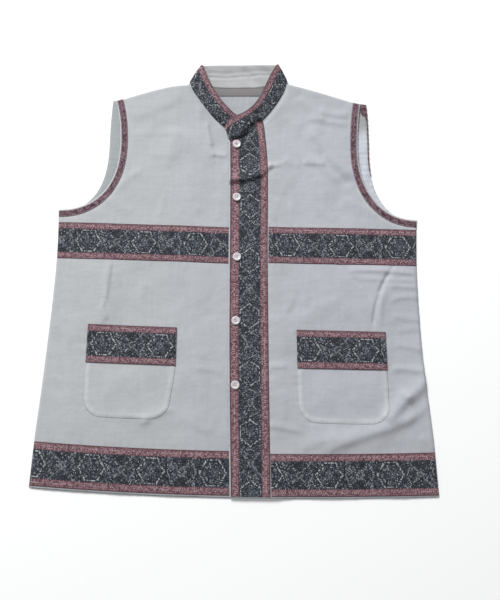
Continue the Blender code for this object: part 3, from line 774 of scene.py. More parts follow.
def fill_outline(loop, cell):
    """Points and even triangles inside a closed outline, and which points are its own."""
    inner = inward(loop, EDGE_ROUND)
    low, high = loop.min(axis=0), loop.max(axis=0)
    spots = []
    for k, y in enumerate(np.arange(low[1], high[1], cell * math.sqrt(3.0) / 2.0)):
        spots += [(x, y) for x in np.arange(low[0] + (k % 2) * cell / 2.0, high[0], cell)]
    spots = np.array(spots)
    inside = np.zeros(len(spots), dtype=bool)
    for (x0, y0), (x1, y1) in zip(loop, np.roll(loop, -1, axis=0)):
        if y0 != y1:
            crosses = (spots[:, 1] >= min(y0, y1)) & (spots[:, 1] < max(y0, y1))
            inside ^= crosses & (spots[:, 0] < x0 + (spots[:, 1] - y0) * (x1 - x0) / (y1 - y0))
    spots = spots[inside]
    spots = spots[distance_to(spots, inner) > CLEAR_SHARE * cell]
    points = [Vector(p) for p in np.concatenate([loop, inner, spots])]
    made = delaunay_2d_cdt(points, [], [list(range(len(loop)))], 1, 1e-6)
    ring = [k for k, sources in enumerate(made[3]) if any(source < len(loop) for source in sources)]
    return np.array([tuple(p) for p in made[0]]), [tuple(face) for face in made[2]], ring


def cloth_panel(node, loop, cell, heights, material, second):
    """Cloth over an outline, between two heights. second tells where its other colour shows."""
    flat, faces, ring = fill_outline(loop, cell)
    low, top = (np.column_stack([flat, height(flat)]) for height in heights)
    points, faces, _ = shell(top, low, faces, ring)
    piece = add_object(node + "_cloth", points, faces, material, node)
    shares = piece.data.attributes.new("Second", "FLOAT", "POINT")
    shares.data.foreach_set("value", second(points[:, :2]))


def rows_across(width, cell):
    """Distances across a band, close together at its edges and at its stitching."""
    edge = [0.0, EDGE_ROUND, GROOVE_AT - GROOVE_HALF, GROOVE_AT, GROOVE_AT + GROOVE_HALF]
    inside = width - 2.0 * edge[-1]
    count = max(2, round(inside / cell))
    middle = [edge[-1] + inside * k / count for k in range(1, count)]
    return np.array(edge + middle + [width - d for d in reversed(edge)])


class Strip:
    """Band of tape: places by row along it and by column across it, with the distances of both."""

    def __init__(self, flat, along, across):
        self.flat, self.along, self.across = flat, along, across
        self.length, self.width = along[-1], across[-1]

    def piece(self, name, heights, material, node, slot, along=None, across=None):
        """Closed shell of the band, between two heights."""
        shape = self.flat.shape[:2]
        flat = self.flat.reshape(-1, 2)
        low, top = (np.column_stack([flat, height(flat)]).reshape(*shape, 3) for height in heights)
        top[:, :, 2] -= hump(np.minimum(self.across, self.width - self.across), *GROOVE)
        self.top = top
        points, faces, source = grid_shell(top, low)
        along = self.along[:, None] if along is None else along
        across = self.across if across is None else across
        uv = np.stack(np.broadcast_arrays(along, across), 2).reshape(-1, 2)
        return add_object(name, points, faces, material, node, uv[source])

    def sew(self):
        """Stitches along both edges, in their grooves."""
        for distance in (GROOVE_AT, self.width - GROOVE_AT):
            pink_stitches.run(self.top[:, int(np.argmin(np.abs(self.across - distance)))])


def strip_in(loop, start_near, cell):
    """Strip between the four sides of an outline, from the side nearest to a place."""
    sides = [rounded(side, 1.0) for side in split(loop, four_corners(loop))]
    away = [math.dist(side[len(side) // 2], start_near) for side in sides]
    first = away.index(min(away))
    start, low, end, high = sides[first:] + sides[:first]
    start, high = start[::-1], high[::-1]
    width = 0.5 * (length_of(start) + length_of(end))
    length = 0.5 * (length_of(low) + length_of(high))
    across = rows_across(width, cell)
    middle = np.linspace(0.0, length, max(4, round(length / cell)) + 1)[1:-1]
    middle = middle[middle > 2.0 * EDGE_ROUND]
    along = np.unique(np.round([0.0, EDGE_ROUND, *middle, length - EDGE_ROUND, length], 4))
    s, t = along / along[-1], across / width
    low, high = spread(low, s), spread(high, s)
    start, end = spread(start, t), spread(end, t)
    s, t = s[:, None, None], t[None, :, None]
    sides = low[:, None] * (1 - t) + high[:, None] * t + start[None] * (1 - s) + end[None] * s
    corners = (low[0] * (1 - t) + high[0] * t) * (1 - s) + (low[-1] * (1 - t) + high[-1] * t) * s
    return Strip(sides - corners, along, across)


class Stitches:
    """Sewing stitches, gathered into one mesh. Each is a plump bead of thread with drawn-in ends."""

    section = ((-0.45, 0.0), (0.0, 0.9), (0.45, 0.0), (0.0, -0.5))  # shares of width and height

    def __init__(self):
        self.points, self.faces = [], []
        self.bead = [(end * 0.3, side, up) for end in (-1, 1) for side, up in self.section]
        self.bead = [(-0.5, 0.0, -0.4), *self.bead, (0.5, 0.0, -0.4)]
        self.bead_faces = []
        for k, n in ((0, 1), (1, 2), (2, 3), (3, 0)):
            self.bead_faces += [(0, 1 + n, 1 + k), (1 + k, 1 + n, 5 + n, 5 + k), (9, 5 + k, 5 + n)]

    def run(self, line):
        """Row of stitches along a line of points in mm."""
        count = max(2, int(length_of(line) / STITCH_PITCH))
        marks = spread(line, np.linspace(0.0, 1.0, 2 * count + 1))
        for before, middle, after in zip(marks[:-2:2], marks[1::2], marks[2::2]):
            along = Vector(after - before).normalized()
            up = Vector((0.0, 0.0, 1.0))
            middle = Vector(middle) + up * STITCH_LIFT
            up = (up - along * up.dot(along)).normalized()
            axes = (along * STITCH_LENGTH, up.cross(along).normalized() * STITCH_WIDTH, up * STITCH_HEIGHT)
            base = len(self.points)
            self.points += [middle + axes[0] * a + axes[1] * b + axes[2] * c for a, b, c in self.bead]
            self.faces += [tuple(base + k for k in face) for face in self.bead_faces]

    def piece(self, name, material, slot):
        add_object(name, self.points, self.faces, material, None)


# Materials


def fill(tree, pairs):
    """Set the sockets of a node, or link them to the terms that they take."""
    for socket, value in pairs:
        if isinstance(value, Term):
            tree.links.new(value.socket, socket)
        else:
            socket.default_value = value


class Term:
    """Value in a material, from which sums, products and tests are made."""

    def __init__(self, tree, socket):
        self.tree, self.socket = tree, socket

    def made(self, operation, *others):
        node = self.tree.nodes.new("ShaderNodeMath")
        node.operation = operation
        fill(self.tree, zip(node.inputs, (self, *others)))
        return Term(self.tree, node.outputs[0])

    __add__ = partialmethod(made, "ADD")
    __sub__ = partialmethod(made, "SUBTRACT")
    __mul__ = partialmethod(made, "MULTIPLY")
    most = partialmethod(made, "MAXIMUM")
    least = partialmethod(made, "MINIMUM")
    above = partialmethod(made, "GREATER_THAN")
    below = partialmethod(made, "LESS_THAN")
    near = partialmethod(made, "COMPARE")
    repeat = partialmethod(made, "FLOORED_MODULO")
    size = partialmethod(made, "ABSOLUTE")
    whole = partialmethod(made, "FLOOR")
    sine = partialmethod(made, "SINE")

    def share(self):
        """The value held between 0 and 1."""
        return self.most(0.0).least(1.0)

    def wave(self, pitch):
        """Sine of a distance in metres, with a pitch in mm."""
        return (self * (2.0 * math.pi / (pitch * MM))).sine()


class Finish:
    """Material under construction."""

    def __init__(self, name, colour, roughness):
        self.material = bpy.data.materials.new(name)
        self.material.use_nodes = True
        self.material.diffuse_color = (*colour, 1.0)
        self.tree = self.material.node_tree
        self.shader = self.tree.nodes["Principled BSDF"]
        self.set(Base_Color=(*colour, 1.0), Roughness=roughness, Specular_IOR_Level=0.25)

    def set(self, **inputs):
        """Values or terms for the shader's own sockets."""
        sockets = self.shader.inputs
        fill(self.tree, [(sockets[name.replace("_", " ")], value) for name, value in inputs.items()])

    def node(self, kind, output, **inputs):
        """Output of a new node."""
        node = self.tree.nodes.new(kind)
        fill(self.tree, [(node.inputs[name], value) for name, value in inputs.items()])
        return Term(self.tree, node.outputs[output])

    def parts(self, vector):
        node = self.tree.nodes.new("ShaderNodeSeparateXYZ")
        self.tree.links.new(vector, node.inputs["Vector"])
        return [Term(self.tree, socket) for socket in node.outputs]

    def uv(self):
        """The two weave coordinates, along and across, in metres."""
        node = self.tree.nodes.new("ShaderNodeUVMap")
        node.uv_map = "Weave"
        return self.parts(node.outputs["UV"])[:2]

    def place(self):
        """The three object coordinates, in metres."""
        return self.parts(self.tree.nodes.new("ShaderNodeTexCoord").outputs["Object"])

    def vector(self, x, y, z):
        return self.node("ShaderNodeCombineXYZ", "Vector", X=x, Y=y, Z=z)

    def noise(self, x, y, z, scale, detail=2.0):
        vector = self.vector(x, y, z)
        return self.node("ShaderNodeTexNoise", "Fac", Vector=vector, Scale=scale, Detail=detail)

    def chance(self, x, y, seed):
        """Even chance from 0 to 1 for each whole place."""
        return self.node("ShaderNodeTexWhiteNoise", "Value", Vector=self.vector(x, y, seed))

    def mix(self, share, first, second):
        """Colour between two colours."""
        node = self.tree.nodes.new("ShaderNodeMix")
        node.data_type = "RGBA"
        first, second = (c if isinstance(c, Term) else (*c, 1.0) for c in (first, second))
        fill(self.tree, ((node.inputs[0], share), (node.inputs[6], first), (node.inputs[7], second)))
        return Term(self.tree, node.outputs[2])

    def done(self, colour, height, distance, strength, sheen=0.0):
        """The material with its colour, the relief of its surface in mm and its sheen."""
        kind = "ShaderNodeBump"
        normal = self.node(kind, "Normal", Height=height, Distance=distance * MM, Strength=strength)
        self.set(Base_Color=colour, Normal=normal, Sheen_Weight=sheen)
        return self.material


def weave_height(x, y, pitch):
    """Plain weave: threads that pass over and under each other."""
    return x.wave(pitch) * y.wave(pitch)


def shaded(colour, share):
    return tuple(share * value for value in colour)


def cotton_finish(name, left, right, second):
    """Plain-woven cotton, a little cooler on one side, with slubs and soft mottling. On the inside of the
    back that side has painted light instead, and painted shade darkens the cotton towards the hem and the
    neck.
    """
    finish = Finish(name, left, 0.92)
    x, y, z = finish.place()
    slub = finish.noise(x * 0.12, y, z, 900.0, 1.0) + finish.noise(x, y * 0.12, z, 900.0, 1.0)
    streak = finish.noise(x * 0.14, y, z, 210.0) + finish.noise(x, y * 0.14, z, 210.0)
    mottle = finish.noise(x, y, z, 24.0, 4.0)
    shade = (slub - 1.0) * 0.9 + (streak - 1.0) * 1.3 + (mottle - 0.5) * 1.1 + 0.4
    darker = shaded(left, 0.78)
    # second colour where the Second attribute says: lighter doubled cloth on the fronts and pockets,
    # painted shade on the inside of the back
    second_share = finish.tree.nodes.new("ShaderNodeAttribute")
    second_share.attribute_name = "Second"
    # left to right: a cooler tint on the fronts; on the inside of the back, painted light towards the right
    cloth = finish.mix((x * 3.2 + 0.5).share(), left, right)
    cloth = finish.mix(Term(finish.tree, second_share.outputs["Fac"]), cloth, second)
    # painted shade: the cotton darker towards the hem and the neck
    cloth = finish.mix((y.size() * 9.0 - 1.9).share() * END_SHADE, cloth, darker)
    cloth = finish.mix(shade.share() * 0.36, cloth, darker)
    wrinkle = finish.noise(x, y, z, 55.0, 4.0)
    drawn = finish.noise(x * 0.45 + y * 0.3, y - x * 0.25, z, 38.0, 3.0)
    height = weave_height(x, y, COTTON_PITCH) * 0.05 + slub * 0.08 + wrinkle + drawn * 1.4
    return finish.done(cloth, height, 0.75, 1.0, 0.12)


def tape_finish():
    """Woven tape: hexagonal medallions on a dark field between two pink borders."""
    finish = Finish("woven_tape", FIELD_MIDDLE, 0.85)
    along, across = finish.uv()
    i, j = ((distance * (1.0 / (FIGURE_CELL * MM))).whole() for distance in (along, across))
    half = FIGURE_REPEAT / FIGURE_CELL / 2.0
    p = (i.repeat(2.0 * half) - (half - 0.5)).size()
    q = (j - (TAPE_WIDTH / FIGURE_CELL / 2.0 - 0.5)).size()
    first, second = finish.chance(i, j, 3.0), finish.chance(i, j, 8.0)
    step = (i + j).repeat(2.0)
    ring = q.most((p + q * 0.6) * 0.9)
    apart = p * -1.0 + half

    outer_ring = ring.near(11.7, 0.75) * first.above(0.34)
    second_ring = ring.near(8.6, 0.6) * second.above(0.35) * step
    heart = (p + q).near(3.5, 0.6) * first.above(0.2)
    spokes = (p - q).near(0.0, 0.6) * ring.below(7.6) * first.above(0.35)
    chevron = (p - q * 0.5).near(16.0, 0.7) * q.below(9.0) * second.above(0.3)
    wedge = (q - apart * 0.9).near(1.0, 0.7) * first.above(0.3)
    kernel = (apart + q).near(3.6, 0.7) * second.above(0.3)
    inside_wedge = (q - apart * 0.9).above(3.4) * second.below(0.8)
    diaper = (i + j * 2.0).repeat(4.0).below(0.5) * second.above(0.25)
    quiet = inside_wedge.most(ring.near(11.7, 2.2)) * -0.55 + 1.0
    grey = (diaper * 0.8).most(first.above(0.70)).most(second_ring).most(spokes).most(heart) * quiet
    grey = grey.most(second * 0.15)
    light = outer_ring.most(wedge * 0.5).most(chevron * 0.6).most(kernel * 0.4)
    light = light.most(first.above(0.90) * quiet * 0.65) * (second * 0.85 + 0.15)
    figure = finish.mix(light.least(1.0), finish.mix(grey, FIELD_DARK, FIELD_MIDDLE), FIELD_LIGHT)

    dots = q.near(16.5, 0.6) * i.repeat(2.0).below(0.5) * first.above(0.15)
    second_dots = q.near(14.5, 0.6) * i.repeat(3.0).below(0.5) * 0.5
    rib = second * second * 0.5
    edge = (q.above(18.6).most(q.near(13.5, 0.6) * step) * 0.8).most(first.above(0.64) * 0.85)
    pink = finish.mix(dots.most(second_dots).most(rib), BORDER_PINK, BORDER_LIGHT)
    colour = finish.mix(q.below(13.0), finish.mix(edge, pink, BORDER_DARK), figure)
    height = light * 0.8 + grey * 0.3 + dots * 0.5 + weave_height(along, across, TAPE_PITCH) * 0.35
    return finish.done(colour, height, 0.25, 0.6, 0.06)


def trim_finish():
    """Narrow tape: two dark lines on mottled dusty pink, with pale fringed edges."""
    finish = Finish("armhole_trim_weave", TRIM_PINK, 0.9)
    along, across = finish.uv()
    i = (along * (1.0 / (TRIM_CELL_ALONG * MM))).whole()
    j = (across * (1.0 / (TRIM_CELL_ACROSS * MM))).whole()
    patch = (finish.noise(along, across, 0.0, 130.0, 1.0) * 3.2 - 0.9).most(0.1).least(1.0)
    mottle = finish.chance(i, j, 2.0)
    q = (across * (1.0 / MM) - TRIM_WIDTH / 2.0).size()
    dark = (q.near(2.0, 1.3) * 0.7).most(mottle.above(0.5) * 0.9) * patch
    body = finish.mix(mottle.below(0.16) * 0.5, finish.mix(dark, TRIM_PINK, TRIM_DARK), TRIM_FRINGE)
    fringe = q.above(3.8) * (i.repeat(2.0) * 0.35 + mottle * 0.65)
    height = weave_height(along, across, TRIM_PITCH) * 0.5 + mottle * 0.4
    return finish.done(finish.mix(fringe, body, TRIM_FRINGE), height, 0.25, 0.6, 0.08)


def neck_tape_finish():
    """Grey twill tape."""
    finish = Finish("neck_tape_weave", NECK_TAPE_GREY, 0.9)
    x, y, z = finish.place()
    twill = (x + y).wave(TWILL_PITCH) * 0.5 + 0.5
    shade = (twill * 0.5 + finish.noise(x, y, z, 700.0) * 0.6).least(1.0)
    cloud = (finish.noise(x, y, z, 45.0) * 3.0 - 1.0).share()
    tone = finish.mix(cloud, NECK_TAPE_GREY, NECK_TAPE_ROSE)
    return finish.done(finish.mix(shade, shaded(NECK_TAPE_GREY, 0.75), tone), twill, 0.2, 0.6)


def button_finish():
    """Pearly shirt button."""
    finish = Finish("button_shell", BUTTON_SHELL, 0.28)
    finish.set(Specular_IOR_Level=0.5, Coat_Weight=0.25, Coat_Roughness=0.15)
    cloud = finish.noise(*finish.place(), 260.0, 3.0)
    colour = finish.mix(cloud, shaded(BUTTON_SHELL, 0.86), shaded(BUTTON_SHELL, 1.12))
    return finish.done(colour, cloud, 0.05, 0.4)


def thread_finish(name, colour):
    """Twisted sewing thread."""
    finish = Finish(name, colour, 0.7)
    x, y, z = finish.place()
    twist = (x + y * 0.7 + z).wave(TWIST_PITCH) * 0.5 + 0.5
    return finish.done(finish.mix(twist * 0.5, colour, shaded(colour, 0.7)), twist, 0.06, 0.6, 0.1)


COTTON = cotton_finish("cotton_cloth", COTTON_LEFT, COTTON_RIGHT, COTTON_DOUBLED)
COTTON_IN = cotton_finish("cotton_cloth_inside", COTTON_INSIDE, COTTON_INSIDE_LIT, COTTON_SHADED)
COTTON_BAND = cotton_finish("cotton_cloth_collar", COTTON_NECK, COTTON_NECK, COTTON_SHADED)
TAPE = tape_finish()
TRIM = trim_finish()
NECK_TAPE = neck_tape_finish()
BUTTON = button_finish()
WHITE_THREAD = thread_finish("sewing_thread", THREAD_WHITE)
PINK_THREAD = thread_finish("pink_thread", THREAD_PINK)

white_stitches = Stitches()
pink_stitches = Stitches()


# Panels


def back_height(points):
    """Top of the back: flat where it is covered, lightly drawn up round the armholes."""
    x, y = points[:, 0], points[:, 1]
    gathers = np.where(x > 0.0, GATHERS_RIGHT, GATHERS_LEFT)
    ripple = np.sin(y * 2.0 * math.pi / GATHER_PITCH + 1.4 * np.sin(y / 17.0)) * 0.5 + 0.5
    open_side = ease(np.abs(x), *GATHERS_FROM_X) * ease(y, *GATHERS_FROM_Y)
    return CLOTH + open_side * gathers * ripple ** 2


def back_shade(points):
    """Where the inside of the back lies in shade: under the right shoulder, and a little at the neck."""
    x, y = points[:, 0], points[:, 1]
    shoulder = ease(x, 160.0, 172.0) * ease(y, 212.0, 234.0)
    neck = ease(np.abs(x), 90.0, 70.0) * ease(y, 190.0, 210.0)
    return 0.8 * shoulder + 0.12 * neck


def moved_beside(loop, parts, distance, full, none):
    """Closed outline moved inwards beside some lines, fully up to one distance from them."""
    share = np.zeros(len(loop))
    for part in parts:
        share = np.maximum(share, ease(distance_to(loop, part), none, full))
    return loop + (inward(loop, distance) - loop) * share[:, None]


def build_back():
    fronts = [loops["front_" + side] for side in SIDES.values()]
    seams = [part for front in fronts for part in stretches(front, [is_side, is_shoulder])]
    loop = moved_beside(fine_loop(loops["back"], OUTLINE_CELL), seams, BACK_INSET, 1.5, 4.0)
    heights = (lambda points: np.zeros(len(points)), back_height)
    cloth_panel("back", loop, BACK_CELL, heights, COTTON_IN, back_shade)


def build_front(side):
    name = "front_" + SIDES[side]
    neck = stretches(loops[name], [is_neck])
    loop = moved_beside(fine_loop(loops[name], OUTLINE_CELL), neck, -NECK_TUCK, 0.5, 3.5)
    trim = fine_loop(loops["armhole_trim_" + SIDES[side]], TRIM_OUTLINE_CELL)

    def second_share(points):
        x, y = side * points[:, 0], points[:, 1]
        beyond = ease(x, *ARMHOLE_DOUBLED_X)
        for fade in ARMHOLE_DOUBLED_Y:
            beyond = beyond * ease(y, *fade)
        return beyond * hump(distance_to(points, trim), *ARMHOLE_DOUBLED)

    cloth_panel(name, loop, PANEL_CELL, layer(side, CLOTH_LAYER), COTTON, second_share)


def build_pocket(side):
    name = "pocket_" + SIDES[side]
    loop = fine_loop(loops[name], POCKET_OUTLINE_CELL)
    below_band = loop[:, 1].max() - POCKET_BAND_REACH
    low, top = layer(side, POCKET_LAYER)

    def high(points):
        away = distance_to(points, loop)
        down = ease(points[:, 1], below_band, below_band - POCKET_BELLY_DOWN)
        belly = POCKET_BELLY * ease(away, *POCKET_BELLY_IN) * down
        edge = hump(away, *POCKET_RIDGE) - hump(away, *POCKET_SEWN) - hump(away, *POCKET_EDGE)
        return top(points) + belly + edge

    def second_share(points):
        return hump(distance_to(points, loop), *POCKET_DOUBLED)

    cloth_panel(name, loop, PANEL_CELL, (low, high), COTTON, second_share)
    seam = inward(loop, POCKET_SEAM_IN)
    seam = seam[seam[:, 1] < below_band]
    start = int(np.argmax(np.linalg.norm(np.diff(np.vstack([seam, seam[:1]]), axis=0), axis=1))) + 1
    seam = np.roll(seam, -start, axis=0)
    white_stitches.run(np.column_stack([seam, high(seam)]))


# Bands of woven tape


def woven_along(places, middles):
    """Distance along the woven tape at places, from where the middles of its medallions lie."""
    known = (middles[0] - 4.0 * FIGURE_REPEAT, *middles, middles[-1] + 4.0 * FIGURE_REPEAT)
    count = [-4.0, *range(len(middles)), len(middles) + 3.0]
    return np.interp(places, known, [(number + 0.5) * FIGURE_REPEAT for number in count])


def woven_across(strip, low, high):
    """Distances across a band, brought to the tape's own width and borders."""
    lying = [0.0, low, strip.width - high, strip.width]
    return np.interp(strip.across, lying, [0.0, BORDER, TAPE_WIDTH - BORDER, TAPE_WIDTH])


def lay_band(name, side, lifts):
    """Band on a front, with its medallions at their places."""
    strip = strip_in(loops[name], (loops[name][:, 0].min(), loops[name][:, 1].mean()), BAND_CELL)
    along = woven_along(strip.flat[:, :, 0], FIGURE_AT[name])
    border = BORDER * strip.width / TAPE_WIDTH
    weave = (along, woven_across(strip, border, border))
    piece = strip.piece(name + "_weave", layer(side, lifts), TAPE, name, "tape", *weave)
    strip.sew()


def main_bands(side):
    name = SIDES[side]
    for part, lifts, below in BANDS:
        lay_band(part + name, side, lifts)


def placket_band():
    """Tape down the placket. The cross fold hides a little of its length."""
    loop = loops["placket_tape"]
    strip = strip_in(loop, (loop[:, 0].mean(), loop[:, 1].min()), PLACKET_CELL)
    strip.flat[:, :, 1] += PLACKET_UNDER_COLLAR * ease(strip.along[:, None] / strip.length, 0.93, 1.0)
    y = strip.flat[:, :, 1]
    along = y - FIGURE_PLACKET_Y + FIGURE_REPEAT / 2.0 + TUCK_HIDES * ease(y, TUCK_Y - 4.0, TUCK_Y + 4.0)
    weave = (along, woven_across(strip, *PLACKET_BORDERS))
    piece = strip.piece("placket_tape_weave", layer(1, TAPE_LAYER), TAPE, "placket_tape", "tape", *weave)
    strip.sew()


# Narrow tapes


def armhole_trim(side):
    name = "armhole_trim_" + SIDES[side]
    strip = strip_in(loops[name], (side * TRIM_START[0], TRIM_START[1]), TRIM_CELL)
    piece = strip.piece(name + "_weave", layer(side, TAPE_LAYER), TRIM, name, "trim")


def turned_trim():
    """The armhole tape past the shoulder, where the back's edge shows: broad at first, then a thin line."""
    y = np.arange(BACK_TRIM[0][0], BACK_TRIM[-1][0], TURNED_CELL)[::-1]
    edge = fine_loop(loops["back"], 1.0)
    edge_x, edge_y = edge.T
    edge = edge[(edge_x > BACK_TRIM_BEYOND) & (edge_y > BACK_TRIM_Y[0]) & (edge_y < BACK_TRIM_Y[1])]
    edge = edge[np.argsort(edge[:, 1])]
    outer = np.interp(y, edge[:, 1], edge[:, 0]) + BACK_TRIM_OVER
    width = np.interp(y, *zip(*BACK_TRIM))
    shares = np.linspace(1.0, 0.0, 7)
    x = outer[:, None] - width[:, None] * shares
    flat = np.stack([x, np.broadcast_to(y[:, None], x.shape)], 2)
    strip = Strip(flat, y[0] - y, (1.0 - shares) * TRIM_WIDTH)
    heights = [lambda points, lift=lift: back_height(points) + lift for lift in TURNED_TRIM_LAYER]
    piece = strip.piece("armhole_trim_right_turned", heights, TRIM, None, "trim")


def neck_tape():
    strip = strip_in(loops["neck_tape"], NECK_TAPE_START, TRIM_CELL)
    strip.flat[:, :, 1] += NECK_TAPE_UNDER * (strip.across / strip.width) ** 2
    heights = [lambda points, lift=lift: np.full(len(points), lift) for lift in NECK_TAPE_LAYER]
    piece = strip.piece("neck_tape_weave", heights, NECK_TAPE, "neck_tape", "neck_trim")


# Collar


def lay(u, v, z):
    """Place on the table for a point of the cut."""
    tilt = NECK_TILT * float(ease(v, *NECK_TILT_V) * ease(abs(u), *NECK_TILT_U))
    return u + float(np.interp(v, *zip(*CENTRE_LINE))), v + u * tilt, z


def collar_shape(short):
    """Middle points of the collar's wall and its outward directions, by column and row.

    The columns run from the end under the overlap, round the back, to the end on top.
    """
    sections = [(-1, row) for row in (COLLAR_HALF + COLLAR_END_UNDER)[::-1]]
    sections += [(1, row) for row in COLLAR_HALF[1:] + COLLAR_END_OVER]
    seam = curve([lay(side * row[0], *row[1:3]) for side, row in sections], COLLAR_STEPS)
    top = curve([lay(side * row[3], *row[4:]) for side, row in sections], COLLAR_STEPS)
    rows = np.concatenate([[0.0, 0.02], np.linspace(0.07, 0.93, COLLAR_ROWS), [0.98, 1.0]])
    from_middle = (np.arange(len(seam)) - COLLAR_MIDDLE)[:, None] / COLLAR_STEPS
    shares = rows + (1.0 - rows) * short * ease(np.abs(from_middle), *COLLAR_SHORTENED)
    t = shares[:, :, None]
    middle = seam[:, None] * (1 - t) + top[:, None] * t
    along = np.gradient(middle, axis=0)
    outward = np.cross(np.broadcast_to((top - seam)[:, None], middle.shape), along)
    outward /= np.linalg.norm(outward, axis=2, keepdims=True)
    middle = middle + outward * (COLLAR_BOW * 4.0 * t * (1.0 - t))
    along = along_line(middle[:, len(rows) // 2])
    return middle, outward, rows, shares, along - along[COLLAR_MIDDLE], from_middle


def settle(points, lift, shares, from_middle):
    """Bring the seam edge of a face of the collar down to the cloth or the tape beside it."""
    flat = points[:, :, :2].reshape(-1, 2)
    left, right = (RELIEF[side].at(flat).reshape(points.shape[:2]) + CLOTH_LAYER[1] for side in (-1, 1))
    over_tape = ease(points[:, :, 1], *COLLAR_OVER_TAPE_Y) * ease(points[:, :, 0], *COLLAR_OVER_TAPE_X)
    right += over_tape * (TAPE_LAYER[1] - CLOTH_LAYER[1])
    floor = np.where(from_middle > 0.0, right, left) + TOUCH + lift
    weight = ease(shares, COLLAR_SETTLED_UP_TO, 0.0) * ease(np.abs(from_middle), *COLLAR_SETTLED)
    points[:, :, 2] += (floor - points[:, :, 2]) * weight


def collar_creases(s, t):
    """Fold across the inner face at the back, with the soft creases beside it."""
    line = 0.50 + 0.03 * np.sin(s / 17.0) + s * 0.0006
    folds = hump(t, 1.9, line, 0.036) + hump(t, 0.9, line + 0.18, 0.09)
    soft = 1.3 * np.sin(s / 5.2 + 4.0 * t) * np.sin(math.pi * t) * (0.35 + 0.65 * ease(s, -10.0, 15.0))
    return ease(np.abs(s), 62.0, 48.0) * (folds - soft)


def collar_wall(name, faces_at, short, material, node, slot, rests_on):
    """One layer of the collar, between two distances from the middle of its wall."""
    middle, outward, rows, shares, along, from_middle = collar_shape(short)
    bumps = collar_creases(along[:, None], rows)
    faces = []
    for distance in faces_at:
        face = middle + outward * (distance + bumps)[:, :, None]
        over_cloth = (faces_at[0] - COLLAR_CLOTH[0]) * ease(shares, 0.0, COLLAR_SPREADS_BY)
        lift = distance - faces_at[0] + over_cloth
        settle(face, lift, shares, from_middle)
        face[:, :, 2] = np.maximum(face[:, :, 2], TOUCH + COLLAR_TAPE[1] - distance)
        faces.append(face)
    inside, outside = faces
    points, faces, source = grid_shell(outside, inside, turned=True)
    heights = np.interp(rows * COLLAR_HEIGHT, COLLAR_FIELD_AT, COLLAR_FIELD_IS)
    uv = np.stack(np.meshgrid(along + FIGURE_COLLAR, heights, indexing="ij"), 2).reshape(-1, 2)
    piece = add_object(name, points, faces, material, node, uv[source])
    return outside


def build_collar():
    under = ["back_cloth", "front_left_cloth", "front_right_cloth"]
    cotton = (COTTON_BAND, "collar", "cotton", under)
    collar_wall("collar_cloth", COLLAR_CLOTH, COLLAR_SHORTER, *cotton)
    tape = (TAPE, "collar_tape", "tape", ["collar_cloth"])
    face = collar_wall("collar_tape_weave", COLLAR_TAPE, 0.0, *tape)
    pink_stitches.run(face[:, -3])


# Buttons


def circle(radius, sides, x=0.0, y=0.0):
    turns = [2.0 * math.pi * k / sides for k in range(sides)]
    return [(x + radius * math.cos(a), y + radius * math.sin(a)) for a in turns]


def skin(rings, sides):
    """Faces round a form that is made ring by ring."""
    faces = []
    for base in range(0, (rings - 1) * sides, sides):
        for k in range(sides):
            a, b = base + k, base + (k + 1) % sides
            faces.append((a, b, b + sides, a + sides))
    return faces


def button_mesh():
    """Button with a rolled rim, a well and four holes, round its own middle."""
    points = [(x, y, height) for radius, height in BUTTON_PROFILE for x, y in circle(radius, BUTTON_SIDES)]
    faces = skin(len(BUTTON_PROFILE), BUTTON_SIDES)
    centres = [(HOLE_OUT * x, HOLE_OUT * y) for x, y in QUARTERS]
    holes = [place for centre in centres for place in circle(HOLE_RADIUS, HOLE_SIDES, *centre)]
    edges = [range(BUTTON_SIDES)]
    edges += [range(k, k + HOLE_SIDES) for k in range(BUTTON_SIDES, BUTTON_SIDES + len(holes), HOLE_SIDES)]
    starts = []
    for base in (0, len(points) - BUTTON_SIDES):
        rim = points[base:base + BUTTON_SIDES]
        numbers = [*range(base, base + BUTTON_SIDES), *range(len(points), len(points) + len(holes))]
        starts.append(len(points))
        points += [(x, y, rim[0][2]) for x, y in holes]
        flat = [Vector(p[:2]) for p in rim + holes]
        places, _, triangles, sources, _, _ = delaunay_2d_cdt(flat, [], [list(e) for e in edges], 1, 1e-6)
        for face in triangles:
            middle = sum((places[k] for k in face), Vector((0.0, 0.0))) / len(face)
            if all(math.dist(middle, centre) > HOLE_RADIUS for centre in centres):
                corners = [numbers[min(sources[k])] for k in face]
                faces.append(corners if base else corners[::-1])
    low, high = starts
    for base in range(0, len(holes), HOLE_SIDES):
        for k in range(HOLE_SIDES):
            a, b = base + k, base + (k + 1) % HOLE_SIDES
            faces.append((high + a, high + b, low + b, low + a))
    return np.array(points), faces


def tube(path):
    """Points and faces of a round thread along a path."""
    points = []
    for k, place in enumerate(path):
        along = Vector(path[min(k + 1, len(path) - 1)] - path[max(k - 1, 0)]).normalized()
        across = along.cross(Vector((0.3, 0.2, 0.9))).normalized()
        up = across.cross(along)
        points += [Vector(place) + across * x + up * y for x, y in circle(THREAD_RADIUS, THREAD_SIDES)]
    last = len(points) - THREAD_SIDES
    ends = [tuple(range(THREAD_SIDES))[::-1], tuple(range(last, last + THREAD_SIDES))]
    return points, skin(len(path), THREAD_SIDES) + ends


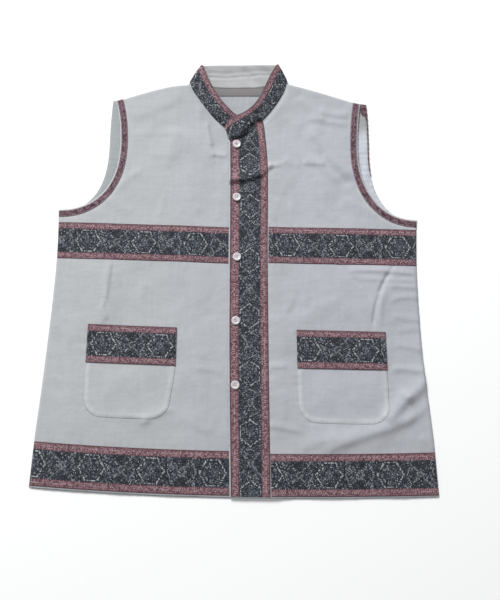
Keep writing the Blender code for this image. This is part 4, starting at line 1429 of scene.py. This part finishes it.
def build_buttons():
    shape, faces = button_mesh()
    foot = np.array(circle(BUTTON_PROFILE[0][0], 24))
    thread_points, thread_faces = [], []
    for k in range(1, 6):
        node = "button_%d" % k
        low, high = (np.array(corner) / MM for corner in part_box(node))
        x, y = (low[:2] + high[:2]) / 2.0
        height = float(RELIEF[1].at(foot + (x, y)).max()) + TAPE_LAYER[1] + BUTTON_LIFT
        spin = np.array(Matrix.Rotation(BUTTON_TURN * k, 3, "Z")).T
        add_object(node + "_shell", shape @ spin + (x, y, height), faces, BUTTON, node)
        for side in (-1.0, 1.0):
            for beside in THREAD_BESIDE:
                path = [(HOLE_OUT * share, HOLE_OUT * side + beside, z) for share, z in THREAD_PATH]
                made, made_faces = tube(np.array(path) @ spin + (x, y, height))
                base = len(thread_points)
                thread_points += made
                thread_faces += [tuple(base + n for n in face) for face in made_faces]
    add_object("button_thread", thread_points, thread_faces, WHITE_THREAD, None)


build_back()
for side in SIDES:
    build_front(side)
    build_pocket(side)
for side in SIDES:
    main_bands(side)
placket_band()
for side in SIDES:
    armhole_trim(side)
turned_trim()
neck_tape()
build_collar()
build_buttons()
white_stitches.piece("white_stitches", WHITE_THREAD, "cotton")
pink_stitches.piece("pink_stitches", PINK_THREAD, "trim")


# Room: a pale floor, soft light from the collar's side, and the photograph's camera


def add_room():
    mesh = bpy.data.meshes.new("floor")
    mesh.from_pydata([(FLOOR_HALF * x, FLOOR_HALF * y, 0.0) for x, y in QUARTERS], [], [(0, 1, 2, 3)])
    paint = Finish("floor_paint", FLOOR_WHITE, 1.0)
    paint.set(Specular_IOR_Level=0.0)
    mesh.materials.append(paint.material)
    floor = link("floor", mesh)
    floor.location.z = -FLOOR_BELOW

    lamp = bpy.data.lights.new("window", "AREA")
    lamp.size = WINDOW_SIZE
    lamp.energy = WINDOW_POWER
    window = link("window", lamp)
    window.location = WINDOW_FROM
    window.rotation_euler = (-Vector(WINDOW_FROM)).to_track_quat("-Z", "Y").to_euler()

    world = bpy.data.worlds.new("studio")
    world.use_nodes = True
    background = world.node_tree.nodes["Background"]
    background.inputs["Color"].default_value = (*WORLD_COLOUR, 1.0)
    background.inputs["Strength"].default_value = WORLD_STRENGTH
    bpy.context.scene.world = world
    bpy.context.scene.view_settings.view_transform = "Standard"

    camera = bpy.data.cameras.new("camera")
    camera.lens = CAMERA_LENS
    camera.sensor_width = CAMERA_SENSOR
    eye = link("camera", camera)
    pitch = Matrix.Rotation(math.radians(CAMERA_PITCH), 4, "X")
    roll = Matrix.Rotation(math.radians(CAMERA_ROLL), 4, "Z")
    eye.matrix_world = Matrix.Translation(Vector(CAMERA_PLACE) * MM) @ pitch @ roll
    bpy.context.scene.camera = eye


add_room()
